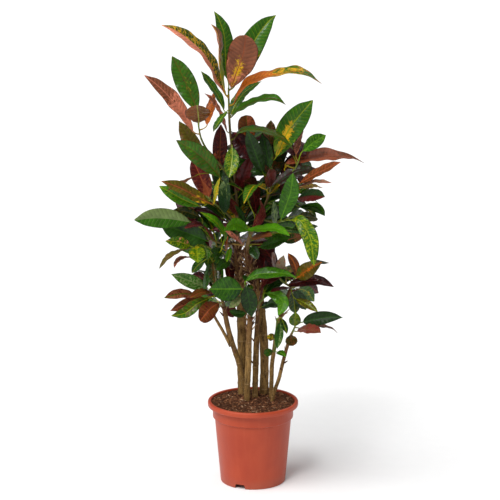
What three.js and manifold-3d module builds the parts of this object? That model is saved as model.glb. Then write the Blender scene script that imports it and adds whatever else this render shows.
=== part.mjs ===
// A croton in its nursery pot: seven woody canes stand in the soil. Each carries one leafy stem, and the back
// one has a small side shoot as well.
// Millimetres, +Z up. The origin is on the pot's axis at the floor, and -Y is the front.

import * as THREE from 'three';
import { mergeVertices } from 'three/addons/utils/BufferGeometryUtils.js';
import Module from 'manifold-3d';

const wasm = await Module();
wasm.setup();

// ---- Driving dimensions -------------------------------------------------------------------------

const POT_HEIGHT = 193;
const LIP_RADIUS = 105;
const RIM_INNER_RADIUS = 97;
const LIP_DEPTH = 12;
const COLLAR_RADIUS = 93.5;
const COLLAR_DEPTH = 38;
const WALL_TOP_RADIUS = 89;
const FOOT_RADIUS = 75.6;
const WALL = 2;
const RING_WIDTH = 4;
const FLOOR_RAISE = 6;
const FLOOR_THICKNESS = 2.5;
const POT_SIDES = 40;

const NOTCHES = 3;
const NOTCH_WIDTH = 25.6;
const NOTCH_HEIGHT = 10;
const NOTCH_REACH = 16;
const FIRST_NOTCH_DEGREES = -113.6;

const SOIL_BELOW_RIM = 9;
const SOIL_MOUND = 9;
const SOIL_SIDES = 26;
const SOIL_ROUGHNESS = 1.6;
const ROOTED_DEPTH = 60;

const GAP = 0.3;
const SMALLEST_FEATURE = 0.05;
const CANE_SIDES = 8;
const STEM_SIDES = 6;

const BLADE_HALF_THICKNESS = 0.45;
const RIB_HALF_THICKNESS = 0.9;
const PETIOLE_RADIUS = 1.7;
const ROOT_SPREAD = 0.5;
const CLEARANCE = 1.3;
const FOLD = 0.2;
const WAVE = 0.07;
const SLENDEREST = 0.2;
const SLENDER_BASE = 8;

// The plant is laid out in a front view of 500 by 500 units, as seen by an eye in front of the pot.
// VIEW_SCALE is the view's units for a slope of one.
const EYE = new THREE.Vector3(0, -4000, 1460);
const EYE_TILT_DEGREES = -12.82;
const VIEW_SCALE = 1800;
const VIEW_CENTRE = [253, 250];

// ---- The plant's layout -------------------------------------------------------------------------

// Woody canes: points from the soil up, each [across, down, depth, radius], with across and down in the
// front view and the others in millimetres. Depth grows away from the eye.
const CANES = {
  cane_main: [[[243.5, 392, 50, 12.7], [242.5, 370, 48, 12.4], [242.5, 348, 46, 12], [242, 320, 42, 11.5],
    [241, 298, 38, 11], [239.5, 275, 34, 10.5], [238, 258, 30, 9.5], [238, 246, 28, 8]]],
  cane_right: [[[264, 388, 46, 11], [264.5, 370, 44, 10.6], [264, 345, 40, 10], [262, 320, 34, 9.8],
    [260, 300, 28, 9.5], [255.5, 282, 20, 9], [249.5, 265, 10, 8.6], [247, 250, 4, 7.5]]],
  cane_front: [[[247, 399, -8, 7.3], [247.5, 380, -10, 7.1], [248.5, 360, -12, 7], [249, 340, -14, 6.8],
    [250, 317, -17, 6.4]]],
  cane_left: [[[246, 394, 26, 6.6], [241, 372, 20, 6.4], [238, 360, 14, 6.3], [234, 348, 8, 6.2],
    [228, 328, -6, 5.8], [224, 307, -16, 5.2]],
  [[230.5, 346, 2, 4], [224, 333, -4, 3.6], [213, 314, -8, 3.2]]],
  cane_thin: [[[255.2, 395, 18, 7.2], [255.5, 370, 17, 7], [256.6, 340, 12, 6.4], [257.5, 311, 4, 4.6]]],
  cane_back: [[[271, 396, 16, 5.2], [271.5, 380, 16, 5.2], [272, 365, 14, 5.1], [274, 350, 10, 5],
    [277, 332, 8, 4.8], [282, 312, 4, 4.6], [290, 290, -2, 4.2]]],
  cane_outer: [[[272.5, 399, -12, 4.6], [279, 378, -16, 4.4], [284, 358, -20, 4.2], [290, 337, -25, 3.9]]],
};

// Leafy stems, each going on from a cane or forking from its own first stem.
const STEMS = {
  leaves_main: [
    [[238, 246, 28, 6.5], [237.5, 225, 26, 4.4], [236, 190, 20, 3.4], [233, 157, 12, 3], [230, 130, 8, 2.8],
      [229, 108, 6, 2.5], [228.5, 88, 4, 1.8]],
    [[235, 186, 19, 2.6], [221, 166, 4, 2.4], [208, 151, -8, 2.3], [201, 138, -14, 2.1],
      [198, 122, -14, 1.6]],
    [[236.5, 206, 23, 2.6], [228, 190, -2, 2.4], [219, 176, -18, 2], [216, 164, -18, 1.5]],
    [[237, 224, 25, 2.8], [226, 213, 0, 2.5], [214, 203, -28, 2.2], [206, 196, -34, 1.6]],
    [[238, 243, 27, 3.4], [224, 244, 0, 2.8], [209, 238, -18, 2.4], [200, 228, -24, 1.7]],
    [[224, 244, 0, 2.4], [214, 251, -18, 2.1], [208, 258, -26, 1.6]],
    [[233, 157, 12, 2.4], [240, 151, 10, 2.1], [245, 144, 6, 1.6]],
  ],
  leaves_right: [
    [[247, 250, 4, 6], [250, 236, 0, 4.2], [258, 218, -6, 3.4], [266, 203, -12, 3], [271, 188, -18, 2.7],
      [272, 172, -22, 2.4], [270, 160, -24, 1.8]],
    [[271, 188, -18, 2.4], [282, 178, -24, 2.2], [294, 170, -24, 2], [299, 160, -22, 1.6]],
    [[266, 203, -12, 2.4], [280, 205, -12, 2.2], [293, 200, -10, 1.9], [299, 190, -12, 1.5]],
    [[258, 218, -6, 2.6], [274, 222, -24, 2.4], [288, 220, -44, 1.8]],
    [[250, 236, 0, 2.8], [249, 232, -20, 2.5], [250, 228, -36, 1.7]],
  ],
  leaves_front: [[[250, 317, -17, 5.4], [249.5, 309, -20, 3.2], [247, 295, -28, 2.4], [245, 284, -34, 1.8]]],
  leaves_left: [
    [[224, 307, -16, 4.4], [222, 300, -20, 3.2], [218, 294, -24, 2.4], [213, 288, -24, 1.7]],
    [[222, 300, -20, 2.6], [231, 295, -34, 2.2], [240, 290, -46, 1.7]],
  ],
  leaves_thin: [[[257.5, 311, 4, 3.2], [259, 304, 0, 2.6], [264, 298, -8, 1.8]]],
  leaves_back: [
    [[290, 290, -2, 3.6], [293, 282, -6, 2.8], [296, 276, -10, 1.8]],
    [[291, 287, -3, 2.6], [281, 280, -4, 2.3], [277, 270, -6, 1.7]],
  ],
  leaves_outer: [[[290, 337, -25, 3.2], [293, 331, -27, 2.4], [296, 324, -30, 1.7]]],
  leaves_sprout: [[[274, 352, 9, 2.8], [274.5, 350, -3, 2.4], [275.5, 338, -10, 2.1], [277, 318, -12, 1.5]]],
};
const GROWS_ON = {
  leaves_main: 'cane_main',
  leaves_right: 'cane_right',
  leaves_front: 'cane_front',
  leaves_left: 'cane_left',
  leaves_thin: 'cane_thin',
  leaves_back: 'cane_back',
  leaves_outer: 'cane_outer',
  leaves_sprout: 'cane_back',
};

// Leaves seen from the front, one a line: name, the stem that carries it, the blade's width and then the
// depth of its foot and of its tip, and then the midrib from foot to tip in the front view. The width is
// in the view's units, and the depths are in millimetres.
const FRONT_LEAVES = `
T1 main 12 -4 -25 226,95 217,80 212,67 203,53 190,41 176,31 161,25
T2 main 15 12 60 228,80 226,70 225,50 224,35 219,20 214,11
T3 main 5 0 -20 225,93 221,75 219,60 219,45 217,33 211,24
T4 main 30 -6 -50 231,88 237,71 243,54 246,35
T5 main 24 14 60 235,85 247,55 258,35 268,22 276,15
T6 main 9 -2 -20 234,103 240,92 250,82 262,78 275,75 290,72 303,73 322,84
T7 main 8 -14 -60 231,117 240,109 255,102 265,99 276,99 286,105
T8 main 8 16 50 224,110 219,98 212,87 201,71
T9 main 6 -10 -60 227,111 221,119 213,132
T10 main 5 -2 -40 227,131 223,122 218,110 211,99 204,93
T11 main 15 -16 -60 232,147 232,160 229,178
T12 main 7 -10 -50 233,139 240,132 250,130 265,132 280,138 294,150
T13 main 10 16 60 231,115 236,104 243,94 252,87 262,81
L1 main 14 -26 -60 193,131 187,121 180,110 170,98 158,86 144,75
L2 main 21 -14 20 197,110 190,93 182,75 172,56
L3 main 25 -30 -120 199,123 198,113 197,105
L4 main 9 -10 50 207,125 211,108 214,92
M1 main 17 0 40 205,168 193,146 179,121
M2 main 20 -40 -80 220,177 208,163 195,152 176,140
M3 main 18 -22 0 209,197 201,178 192,158
M4 main 15 10 30 219,169 220,147 221,124
M5 main 4 -30 -60 195,176 181,184 167,191
M6 main 13 -46 -70 211,204 195,196 180,188 161,181
M7 main 13 -36 -40 199,206 182,199 170,192 159,186
M8 main 5 -44 -70 214,203 217,191 220,178
M9 main 6 -24 -40 222,218 212,209 200,203 190,202
M10 main 20 0 -40 232,132 242,144 250,158
M11 main 14 6 -10 237,191 245,172 252,155
M12 main 13 -30 -110 224,213 225,196 227,178
R1 main 18 4 30 246,150 247,132 246,115
P1 main 20 -44 -90 190,222 172,219 153,218 134,220
P2 main 11 -20 -60 200,217 186,212 173,210
P3 main 24 -26 -30 207,241 195,236 178,230 160,224
P4 main 14 -12 10 209,236 197,223 183,210
P5 main 12 -40 -100 190,246 178,242 165,241
P6 main 5 -34 -70 190,248 178,252 168,258 159,269
P7 main 4 -28 -60 195,257 183,258 177,262 174,268
P8 main 17 -44 -120 197,246 197,254 198,263
P9 main 7 -34 -70 205,247 207,253 207,260
P10 main 7 -52 -75 222,248 225,236 220,228 213,220 200,212
P11 main 8 -30 -70 222,254 216,251 210,250
P12 main 8 -30 -60 208,264 208,277 204,290
P13 main 13 -34 -70 213,262 215,275 216,288
P14 main 10 -4 -60 230,262 223,264 216,270
F3 main 9 14 -20 241,216 234,208 226,196
F4 main 5 -10 -60 226,250 227,243 228,236
F5 main 6 -12 -50 230,247 229,255 227,262
F6 main 5 -24 -90 243,244 235,238 225,231
R2 right 12 -20 30 268,150 270,135 271,120
R3 right 25 -34 -50 276,157 282,143 290,128 300,115 313,100
R4 right 7 -10 40 296,155 299,140 303,125
R5 right 14 -20 30 303,151 314,142 326,135
R6 right 15 -36 -50 263,173 255,152 247,130
R7 right 13 -30 -20 270,168 266,150 262,133
R8 right 12 -34 -150 271,187 270,178 269,169
R9 right 12 -40 -60 272,187 285,178 300,171 320,170
R10 right 11 -22 90 286,164 300,160 320,156.5 340,156 355,159 365,163.5
R11 right 9 -28 -70 300,183 318,173 341,162
R12 right 4 -10 -30 300,186 315,182 332,183
R13 right 5 -6 60 300,188 312,186 323,188
R14 right 13 -18 -140 298,198 311,196 325,197
R15 right 9 -6 -70 300,207 313,207 320,211 325,216
R16 right 9 6 70 298,216 308,217 318,219
R17 right 8 10 60 292,230 306,227 318,226
R18 right 18 -52 -80 281,219 287,203 291,190 293,173
R19 right 7 -40 -85 275,226 274,213 273,201
R20 right 6 -44 -90 272,192 276,188 280,185
R21 right 4 -10 40 285,168 294,159 304,152
F1 right 9 -50 -130 247,230 262,229 276,229 290,236
F2 right 13 -50 -150 248,230 234,224 224,230
F7 right 8 -44 -190 252,238 262,236 272,236
F8 right 11 -24 -90 260,247 274,243 290,238
F9 right 10 -8 -60 284,241 294,238 304,236
F10 right 8 -40 -100 252,230 264,212 259,196
F11 right 6 -24 -40 246,224 241,215 235,205
Q1 right 16 -62 -110 291,220 299,220 306,229 311,241 314,266
Q5 front 11 -44 -70 246,281 256,275 270,273.5 285,274 297,278
Q2 back 16 -20 -100 297,278 309,269 322,262
Q3 back 9 -14 -10 297,277 295,265 288,253
Q4 back 11 -12 -40 288,285 303,282 319,281 334,287
Q6 back 10 -16 -60 278,272 281,264 284,255
Q7 back 5 -12 -60 275,268 273,260 272,252
Q8 back 7 4 40 297,276 314,264 330,263
Q9 back 5 6 60 298,281 309,277 319,277
Q10 back 4 -12 -40 291,288 280,289 270,292
Q11 back 12 4 40 295,290 300,299 306,310
Q14 back 8 -16 -50 296,299 306,304 318,312
Q15 thin 13 -20 -60 266,293 277,296 283,304 278,316
Q16 outer 12 -32 -90 295,326 295,319 296,312
Q17 outer 14 -34 -70 303,322 316,319 330,317 343,317.5
Q18 outer 11 -38 -176 299,328 309,330 321,333
Q19 outer 4 -30 -30 301,331 314,326 331,328.5 338,333.5
Q20 outer 12 -32 -90 290,335 291,340 293,346
S1 sprout 8 -10 -30 273,351 269,352 264,354
S2 sprout 6 -6 -30 277,352 281,353 286,357
S3 sprout 8 -12 -20 274,339 271,337 267,336
S4 sprout 9 -18 -34 280,322 279,335 277,349
S5 sprout 6 -20 -40 281,318 284,325 287,334
N1 left 14 -28 -50 208,289 190,281 171,274
N2 left 10 -32 -90 196,295 180,294 164,298
N3 left 8 -34 -100 211,291 200,293 190,298
N4 left 12 -28 -40 205,298 187,304 170,311
N5 left 12 -42 -80 210,298 197,304 185,313 171,316
N6 left 17 -46 -140 219,303 210,309 200,321
N7 left 25 -56 -80 242,289 226,289 209,289
N8 left 8 -50 -90 240,297 235,303 229,308
N9 front 8 -32 -70 246,313 238,314 229,311
N10 front 17 -46 -48 246,286 249,300 252,317
`;

// Leaves that the front ones hide: how many each leafy stem has, and the stretch of its stems they take.
const HIDDEN_LEAVES = [
  { stem: 'leaves_main', branch: 0, count: 64, from: 0.06, to: 0.8 },
  { stem: 'leaves_main', branch: 1, count: 8, from: 0.3, to: 0.95 },
  { stem: 'leaves_main', branch: 2, count: 6, from: 0.3, to: 0.95 },
  { stem: 'leaves_main', branch: 3, count: 9, from: 0.3, to: 0.95 },
  { stem: 'leaves_main', branch: 4, count: 11, from: 0.3, to: 0.95 },
  { stem: 'leaves_main', branch: 5, count: 8, from: 0.3, to: 0.95 },
  { stem: 'leaves_right', branch: 0, count: 44, from: 0.1, to: 0.95 },
  { stem: 'leaves_right', branch: 1, count: 9, from: 0.3, to: 0.95 },
  { stem: 'leaves_right', branch: 2, count: 11, from: 0.3, to: 0.95 },
  { stem: 'leaves_right', branch: 3, count: 9, from: 0.3, to: 0.95 },
  { stem: 'leaves_left', branch: 0, count: 11, from: 0.1, to: 0.95 },
  { stem: 'leaves_left', branch: 1, count: 5, from: 0.3, to: 0.95 },
  { stem: 'leaves_front', branch: 0, count: 5, from: 0.5, to: 0.95 },
  { stem: 'leaves_thin', branch: 0, count: 9, from: 0.2, to: 0.95 },
  { stem: 'leaves_back', branch: 0, count: 11, from: 0.2, to: 0.95 },
  { stem: 'leaves_back', branch: 1, count: 8, from: 0.2, to: 0.95 },
  { stem: 'leaves_outer', branch: 0, count: 5, from: 0.2, to: 0.95 },
];
const HIDDEN_LENGTH = [105, 170];
const HIDDEN_SLENDERNESS = 0.34;
const HIDDEN_BASE_WIDTH = 12;
const HIDDEN_PETIOLE = [18, 36];
const HIDDEN_ARC = [-25, 205];
const SPREADING_RISE = [0.1, 0.6];
const UPRIGHT_RISE = [0.7, 1.2];
const DROOP = 0.7;
const GOLDEN_ANGLE = 137.5;

// The hidden leaves keep inside the dense crown's outline and out of its see-through gaps, both in the
// front view, and stand behind what shows of the front leaves and the canes.
const CROWN_EDGE = [[226, 136], [236, 128], [247, 117], [262, 124], [300, 128], [312, 146], [312, 166],
  [318, 186], [322, 206], [322, 226], [306, 240], [277, 241], [276, 264], [300, 264], [320, 274], [321, 290],
  [320, 312], [298, 317], [284, 321], [273, 305], [262, 319], [240, 322], [222, 312], [200, 306], [188, 292],
  [192, 264], [184, 258], [172, 244], [160, 226], [176, 196], [204, 190], [208, 166], [226, 160]];
const CROWN_GAPS = [[245, 254], [224, 258], [223, 274], [224, 280], [247, 285], [268, 312], [268, 322],
  [268, 332], [269, 345], [281, 249], [290, 252], [297, 256], [285, 260]];
const BEHIND_CROWN = 300;
const CANES_SHOW_BELOW = 236;
const SIGHT_INSET = 0.2;

// How far a leaf's tip may be bent in depth to clear the leaves before it.
const BENDS = [0, 12, -12, 24, -24, 36, -36, 50, -50, 65, -65, 80, -80, 100, -100, 120, -120];
const SWINGS = [0, 14, -14, 28, -28, 42, -42, 56, -56, 70, -70];
const SEED = 20417;

const COLOURS = {
  pot: { color: 0xb8583c, roughness: 0.5 },
  soil: { color: 0x5f3c2d, roughness: 0.95 },
  cane: { color: 0x82683f, roughness: 0.85 },
  leaves: { color: 0x3f7a22, roughness: 0.4 },
};

// ---- Small helpers ------------------------------------------------------------------------------

function seededRandom(seed) {
  let state = seed;
  return () => {
    state = (state * 16807) % 2147483647;
    return state / 2147483647;
  };
}

function between(range, share) {
  return range[0] + (range[1] - range[0]) * share;
}

const tilt = THREE.MathUtils.degToRad(EYE_TILT_DEGREES);
const FORWARD = new THREE.Vector3(0, Math.cos(tilt), Math.sin(tilt));
const UPWARD = new THREE.Vector3(0, -Math.sin(tilt), Math.cos(tilt));
const RIGHTWARD = new THREE.Vector3(1, 0, 0);

// The point that the front view shows at (across, down), at a given depth.
function placed(across, down, depth) {
  const sight = FORWARD.clone().multiplyScalar(VIEW_SCALE);
  sight.addScaledVector(RIGHTWARD, across - VIEW_CENTRE[0]);
  sight.addScaledVector(UPWARD, VIEW_CENTRE[1] - down);
  return EYE.clone().addScaledVector(sight, (depth - EYE.y) / sight.y);
}

// Where the front view shows a point.
function seen(point) {
  const offset = point.clone().sub(EYE);
  const scale = VIEW_SCALE / offset.dot(FORWARD);
  return [VIEW_CENTRE[0] + offset.x * scale, VIEW_CENTRE[1] - offset.dot(UPWARD) * scale];
}

// ---- Closed surfaces and solids -----------------------------------------------------------------

// A closed skin over rings of equal count, with the quads' diagonals turned where `turned` says so.
function loft(rings, turned = []) {
  const count = rings[0].length;
  const positions = rings.flat().flatMap((point) => [point.x, point.y, point.z]);
  const index = [];
  for (let ring = 0; ring + 1 < rings.length; ring += 1) {
    for (let side = 0; side < count; side += 1) {
      const a = ring * count + side;
      const b = ring * count + ((side + 1) % count);
      const c = a + count;
      const d = b + count;
      if (turned[side]) index.push(a, b, c, b, d, c);
      else index.push(a, b, d, a, d, c);
    }
  }
  const last = (rings.length - 1) * count;
  for (let side = 1; side + 1 < count; side += 1) {
    index.push(0, side + 1, side);
    index.push(last, last + side, last + side + 1);
  }
  const geometry = new THREE.BufferGeometry();
  geometry.setAttribute('position', new THREE.Float32BufferAttribute(positions, 3));
  geometry.setIndex(index);
  return geometry;
}

function asSolid(geometry) {
  const bare = geometry.clone();
  bare.deleteAttribute('normal');
  bare.deleteAttribute('uv');
  const merged = mergeVertices(bare, 1e-4);
  const triangles = [];
  const corners = merged.index.array;
  for (let i = 0; i < corners.length; i += 3) {
    const [a, b, c] = [corners[i], corners[i + 1], corners[i + 2]];
    if (a !== b && b !== c && c !== a) triangles.push(a, b, c);
  }
  return new wasm.Manifold(new wasm.Mesh({
    numProp: 3,
    vertProperties: merged.attributes.position.array,
    triVerts: new Uint32Array(triangles),
  }));
}

function asMesh(name, solid, look) {
  const { vertProperties, triVerts } = solid.getMesh();
  const geometry = new THREE.BufferGeometry();
  geometry.setAttribute('position', new THREE.BufferAttribute(new Float32Array(vertProperties), 3));
  geometry.setIndex(new THREE.BufferAttribute(new Uint32Array(triVerts), 1));
  geometry.computeVertexNormals();
  const mesh = new THREE.Mesh(geometry, new THREE.MeshStandardMaterial({ ...look, metalness: 0 }));
  mesh.name = name;
  return mesh;
}

// ---- Pot and soil -------------------------------------------------------------------------------

function turnedSolid(outline, sides) {
  const profile = outline.map(([radius, height]) => new THREE.Vector2(radius, height));
  const lathe = new THREE.LatheGeometry(profile, sides);
  lathe.rotateX(Math.PI / 2);
  return asSolid(lathe);
}

function potOutline() {
  const collarBase = POT_HEIGHT - COLLAR_DEPTH;
  const lipBase = POT_HEIGHT - LIP_DEPTH;
  const floorTop = FLOOR_RAISE + FLOOR_THICKNESS;
  return [
    [0, FLOOR_RAISE], [FOOT_RADIUS - RING_WIDTH, FLOOR_RAISE],
    [FOOT_RADIUS - RING_WIDTH, 0], [FOOT_RADIUS, 0],
    [WALL_TOP_RADIUS, collarBase - 2], [COLLAR_RADIUS, collarBase],
    [COLLAR_RADIUS, lipBase], [LIP_RADIUS - 1.5, lipBase],
    [LIP_RADIUS, lipBase + 2], [LIP_RADIUS, POT_HEIGHT - 3],
    [LIP_RADIUS - 2.5, POT_HEIGHT], [RIM_INNER_RADIUS + 2, POT_HEIGHT],
    [RIM_INNER_RADIUS, POT_HEIGHT - 2], [RIM_INNER_RADIUS, lipBase + WALL],
    [COLLAR_RADIUS - WALL, lipBase - WALL], [COLLAR_RADIUS - WALL, collarBase - 1],
    [WALL_TOP_RADIUS - WALL, collarBase - 4], [FOOT_RADIUS - WALL, floorTop],
    [0, floorTop],
  ];
}

function potSolid() {
  let pot = turnedSolid(potOutline(), POT_SIDES);
  for (let n = 0; n < NOTCHES; n += 1) {
    const cutter = new THREE.BoxGeometry(NOTCH_REACH, NOTCH_WIDTH, 2 * NOTCH_HEIGHT);
    cutter.translate(FOOT_RADIUS - 1, 0, 0);
    cutter.rotateZ(THREE.MathUtils.degToRad(FIRST_NOTCH_DEGREES + (n * 360) / NOTCHES));
    pot = pot.subtract(asSolid(cutter));
  }
  return pot;
}

// The soil fills the pot up to a low mound with a crumbly top.
function soilSolid() {
  const collarBase = POT_HEIGHT - COLLAR_DEPTH;
  const floorTop = FLOOR_RAISE + FLOOR_THICKNESS;
  const top = POT_HEIGHT - SOIL_BELOW_RIM;
  const edge = COLLAR_RADIUS - WALL - GAP;
  const outline = [[0, floorTop + GAP], [FOOT_RADIUS - WALL - 1.5 * GAP, floorTop + GAP],
    [WALL_TOP_RADIUS - WALL - 1.5 * GAP, collarBase - 4], [edge, collarBase], [edge, top - 6]];
  const shares = [0.93, 0.78, 0.6, 0.4, 0.2, 0];
  for (const share of shares) outline.push([edge * share, top + SOIL_MOUND * (1 - share * share)]);
  const profile = outline.map(([radius, height]) => new THREE.Vector2(radius, height));
  const lathe = new THREE.LatheGeometry(profile, SOIL_SIDES);
  lathe.rotateX(Math.PI / 2);
  lathe.deleteAttribute('normal');
  lathe.deleteAttribute('uv');
  const merged = mergeVertices(lathe, 1e-4);
  const random = seededRandom(SEED);
  const position = merged.attributes.position;
  for (let i = 0; i < position.count; i += 1) {
    if (position.getZ(i) > top - 1) {
      position.setZ(i, position.getZ(i) + (random() - 0.5) * 2 * SOIL_ROUGHNESS);
    }
  }
  return asSolid(merged);
}

// ---- Canes and stems ----------------------------------------------------------------------------

function pathPoints(rows) {
  return rows.map(([across, down, depth, radius]) => ({ at: placed(across, down, depth), radius }));
}

function rooted(points) {
  const foot = points[0];
  const under = foot.at.clone().setZ(foot.at.z - ROOTED_DEPTH);
  return [{ at: under, radius: foot.radius }, ...points];
}

// Rings of a round stem along its points; `extra` is added to each radius.
function stemRings(points, sides, extra = 0) {
  return points.map(({ at, radius }, i) => {
    const before = points[Math.max(i - 1, 0)].at;
    const after = points[Math.min(i + 1, points.length - 1)].at;
    const along = after.clone().sub(before).normalize();
    const first = new THREE.Vector3(0, 1, 0).cross(along).normalize();
    const second = along.clone().cross(first);
    const ring = [];
    for (let side = 0; side < sides; side += 1) {
      const angle = (2 * Math.PI * side) / sides;
      const point = at.clone().addScaledVector(first, (radius + extra) * Math.cos(angle));
      ring.push(point.addScaledVector(second, (radius + extra) * Math.sin(angle)));
    }
    return ring;
  });
}

function stemSolid(points, sides, extra = 0) {
  return asSolid(loft(stemRings(points, sides, extra)));
}

// ---- Leaves -------------------------------------------------------------------------------------

// Share of the blade's length, and share of its half width there.
const SHORT_BLADE = [[0, 0.1], [0.3, 0.92], [0.68, 0.84], [1, 0]];
const MIDDLE_BLADE = [[0, 0.1], [0.22, 0.76], [0.5, 1], [0.78, 0.68], [1, 0]];
const LONG_BLADE = [[0, 0.1], [0.16, 0.62], [0.36, 0.98], [0.6, 0.96], [0.82, 0.56], [1, 0]];
const MIDDLE_FROM = 85;
const LONG_FROM = 165;

// Leaves whose tips curl out of sight, so that they look blunt from the front.
const BLUNT_BLADE = [[0, 0.1], [0.25, 0.66], [0.55, 1], [0.86, 0.84], [1, 0]];
const BLUNT_LEAVES = ['T4', 'L3', 'R1', 'M10', 'N6', 'S1', 'Q20'];

// Points along a smooth midrib at equal steps, with their running length.
function midribOf(points) {
  const curve = new THREE.CatmullRomCurve3(points, false, 'catmullrom', 0.5);
  const steps = 24;
  const trail = [];
  let length = 0;
  for (let i = 0; i <= steps; i += 1) {
    const at = curve.getPoint(i / steps);
    if (i > 0) length += at.distanceTo(trail[i - 1].at);
    trail.push({ at, length });
  }
  return { trail, length };
}

function onMidrib({ trail, length }, share) {
  const wanted = share * length;
  let i = 1;
  while (i < trail.length - 1 && trail[i].length < wanted) i += 1;
  const a = trail[i - 1];
  const b = trail[i];
  const part = (wanted - a.length) / Math.max(b.length - a.length, 1e-9);
  return {
    at: a.at.clone().lerp(b.at, part),
    along: b.at.clone().sub(a.at).normalize(),
  };
}

function stationsFor(length, name) {
  if (BLUNT_LEAVES.includes(name)) return BLUNT_BLADE;
  if (length < MIDDLE_FROM || name === 'hidden') return SHORT_BLADE;
  return length < LONG_FROM ? MIDDLE_BLADE : LONG_BLADE;
}

// A petiole's cross-section, square to the way it runs there.
function petioleEnd(at, side, way) {
  const level = side.clone().addScaledVector(way, -side.dot(way)).normalize();
  return {
    left: at.clone().addScaledVector(level, -PETIOLE_RADIUS),
    mid: at,
    right: at.clone().addScaledVector(level, PETIOLE_RADIUS),
    normal: level.clone().cross(way),
    edge: 0,
    rib: PETIOLE_RADIUS,
  };
}

// The leaf's cross-sections from its root in the stem to its tip: left edge, midrib, right edge, the
// blade's normal and half thicknesses. `seenWidth` is how wide it looks from the eye: a blade that looks
// narrower than it is has been rolled about its midrib, with its upper face up.
function leafSections({ name, root, points, seenWidth, seed }) {
  const midrib = midribOf(points);
  const random = seededRandom(seed);
  const width = Math.max(seenWidth, SLENDEREST * midrib.length + SLENDER_BASE);
  const chord = points[points.length - 1].clone().sub(points[0]).normalize();
  const toEye = EYE.clone().sub(points[0]).normalize();
  const level = chord.clone().cross(toEye).normalize();
  const rollAngle = Math.acos(Math.min(seenWidth / width, 1));
  const facing = level.clone().cross(chord);
  const tipsUp = Math.sin(rollAngle) * level.z > 0 ? -1 : 1;
  const roll = tipsUp * rollAngle;
  const across = level.clone().multiplyScalar(Math.cos(roll)).addScaledVector(facing, Math.sin(roll));
  const twist = (random() - 0.5) * 0.5;
  const phase = random() < 0.5 ? 1 : -1;
  const stations = stationsFor(midrib.length, name);
  const sections = stations.map(([share, fullness], i) => {
    const { at, along } = onMidrib(midrib, share);
    const side = across.clone().addScaledVector(along, -across.dot(along)).normalize();
    side.applyAxisAngle(along, twist * (share - 0.5));
    const normal = side.clone().cross(along);
    const half = (width / 2) * fullness;
    const lift = FOLD * half;
    const wave = WAVE * half * phase * (i % 2 ? 1 : -1);
    return {
      left: at.clone().addScaledVector(side, -half).addScaledVector(normal, lift + wave),
      mid: at,
      right: at.clone().addScaledVector(side, half).addScaledVector(normal, lift - wave),
      normal,
      edge: BLADE_HALF_THICKNESS,
      rib: between([RIB_HALF_THICKNESS, BLADE_HALF_THICKNESS], share),
    };
  });
  const foot = sections[0].mid;
  const side = sections[0].right.clone().sub(sections[0].left).normalize();
  const offset = new THREE.Vector3(random(), random(), random()).multiplyScalar(ROOT_SPREAD);
  const seat = root.clone().add(offset);
  const way = foot.clone().sub(seat).normalize();
  const bend = onMidrib(midrib, 0).along.add(way).normalize();
  return [petioleEnd(seat, side, way), petioleEnd(foot, side, bend), ...sections.slice(1)];
}

function leafSolid(sections) {
  const rings = sections.map(({ left, mid, right, normal, edge, rib }, i) => {
    const ends = i === sections.length - 1 ? [mid, mid, mid] : [left, mid, right];
    const halves = i === sections.length - 1 ? [rib, rib, rib] : [edge, rib, edge];
    const above = ends.map((point, k) => point.clone().addScaledVector(normal, halves[k]));
    const below = ends.map((point, k) => point.clone().addScaledVector(normal, -halves[k]));
    return [...above, ...below.reverse()];
  });
  return asSolid(loft(rings, [false, true, false, false, true, false]));
}

// ---- Keeping leaves clear of each other ---------------------------------------------------------

// What the clearance test needs of a body: its edges, and its surface moved out by the clearance.
function outlineOf(edges, skin) {
  const low = new THREE.Vector3(Infinity, Infinity, Infinity);
  const high = low.clone().negate();
  for (const triangle of skin) {
    for (const corner of triangle) {
      low.min(corner);
      high.max(corner);
    }
  }
  return { edges, skin, low, high };
}

function leafOutline(sections) {
  const edges = [];
  const skin = [];
  for (let i = 0; i + 1 < sections.length; i += 1) {
    const a = sections[i];
    const b = sections[i + 1];
    edges.push([a.left, b.left], [a.mid, b.mid], [a.right, b.right], [b.left, b.mid], [b.mid, b.right]);
    edges.push([a.left, b.mid], [a.right, b.mid]);
    for (const side of [CLEARANCE, -CLEARANCE]) {
      const [al, am, ar] = [a.left, a.mid, a.right].map((p) => p.clone().addScaledVector(a.normal, side));
      const [bl, bm, br] = [b.left, b.mid, b.right].map((p) => p.clone().addScaledVector(b.normal, side));
      skin.push([al, am, bm], [al, bm, bl], [ar, am, bm], [ar, bm, br]);
    }
  }
  return outlineOf(edges, skin);
}

function stemOutline(points, sides) {
  const inner = stemRings(points, sides);
  const outer = stemRings(points, sides, CLEARANCE);
  const edges = [];
  const skin = [];
  for (let i = 0; i + 1 < points.length; i += 1) {
    for (let side = 0; side < sides; side += 1) {
      const next = (side + 1) % sides;
      edges.push([inner[i][side], inner[i + 1][side]], [inner[i][side], inner[i][next]]);
      skin.push([outer[i][side], outer[i][next], outer[i + 1][next]]);
      skin.push([outer[i][side], outer[i + 1][next], outer[i + 1][side]]);
    }
  }
  return outlineOf(edges, skin);
}

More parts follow.
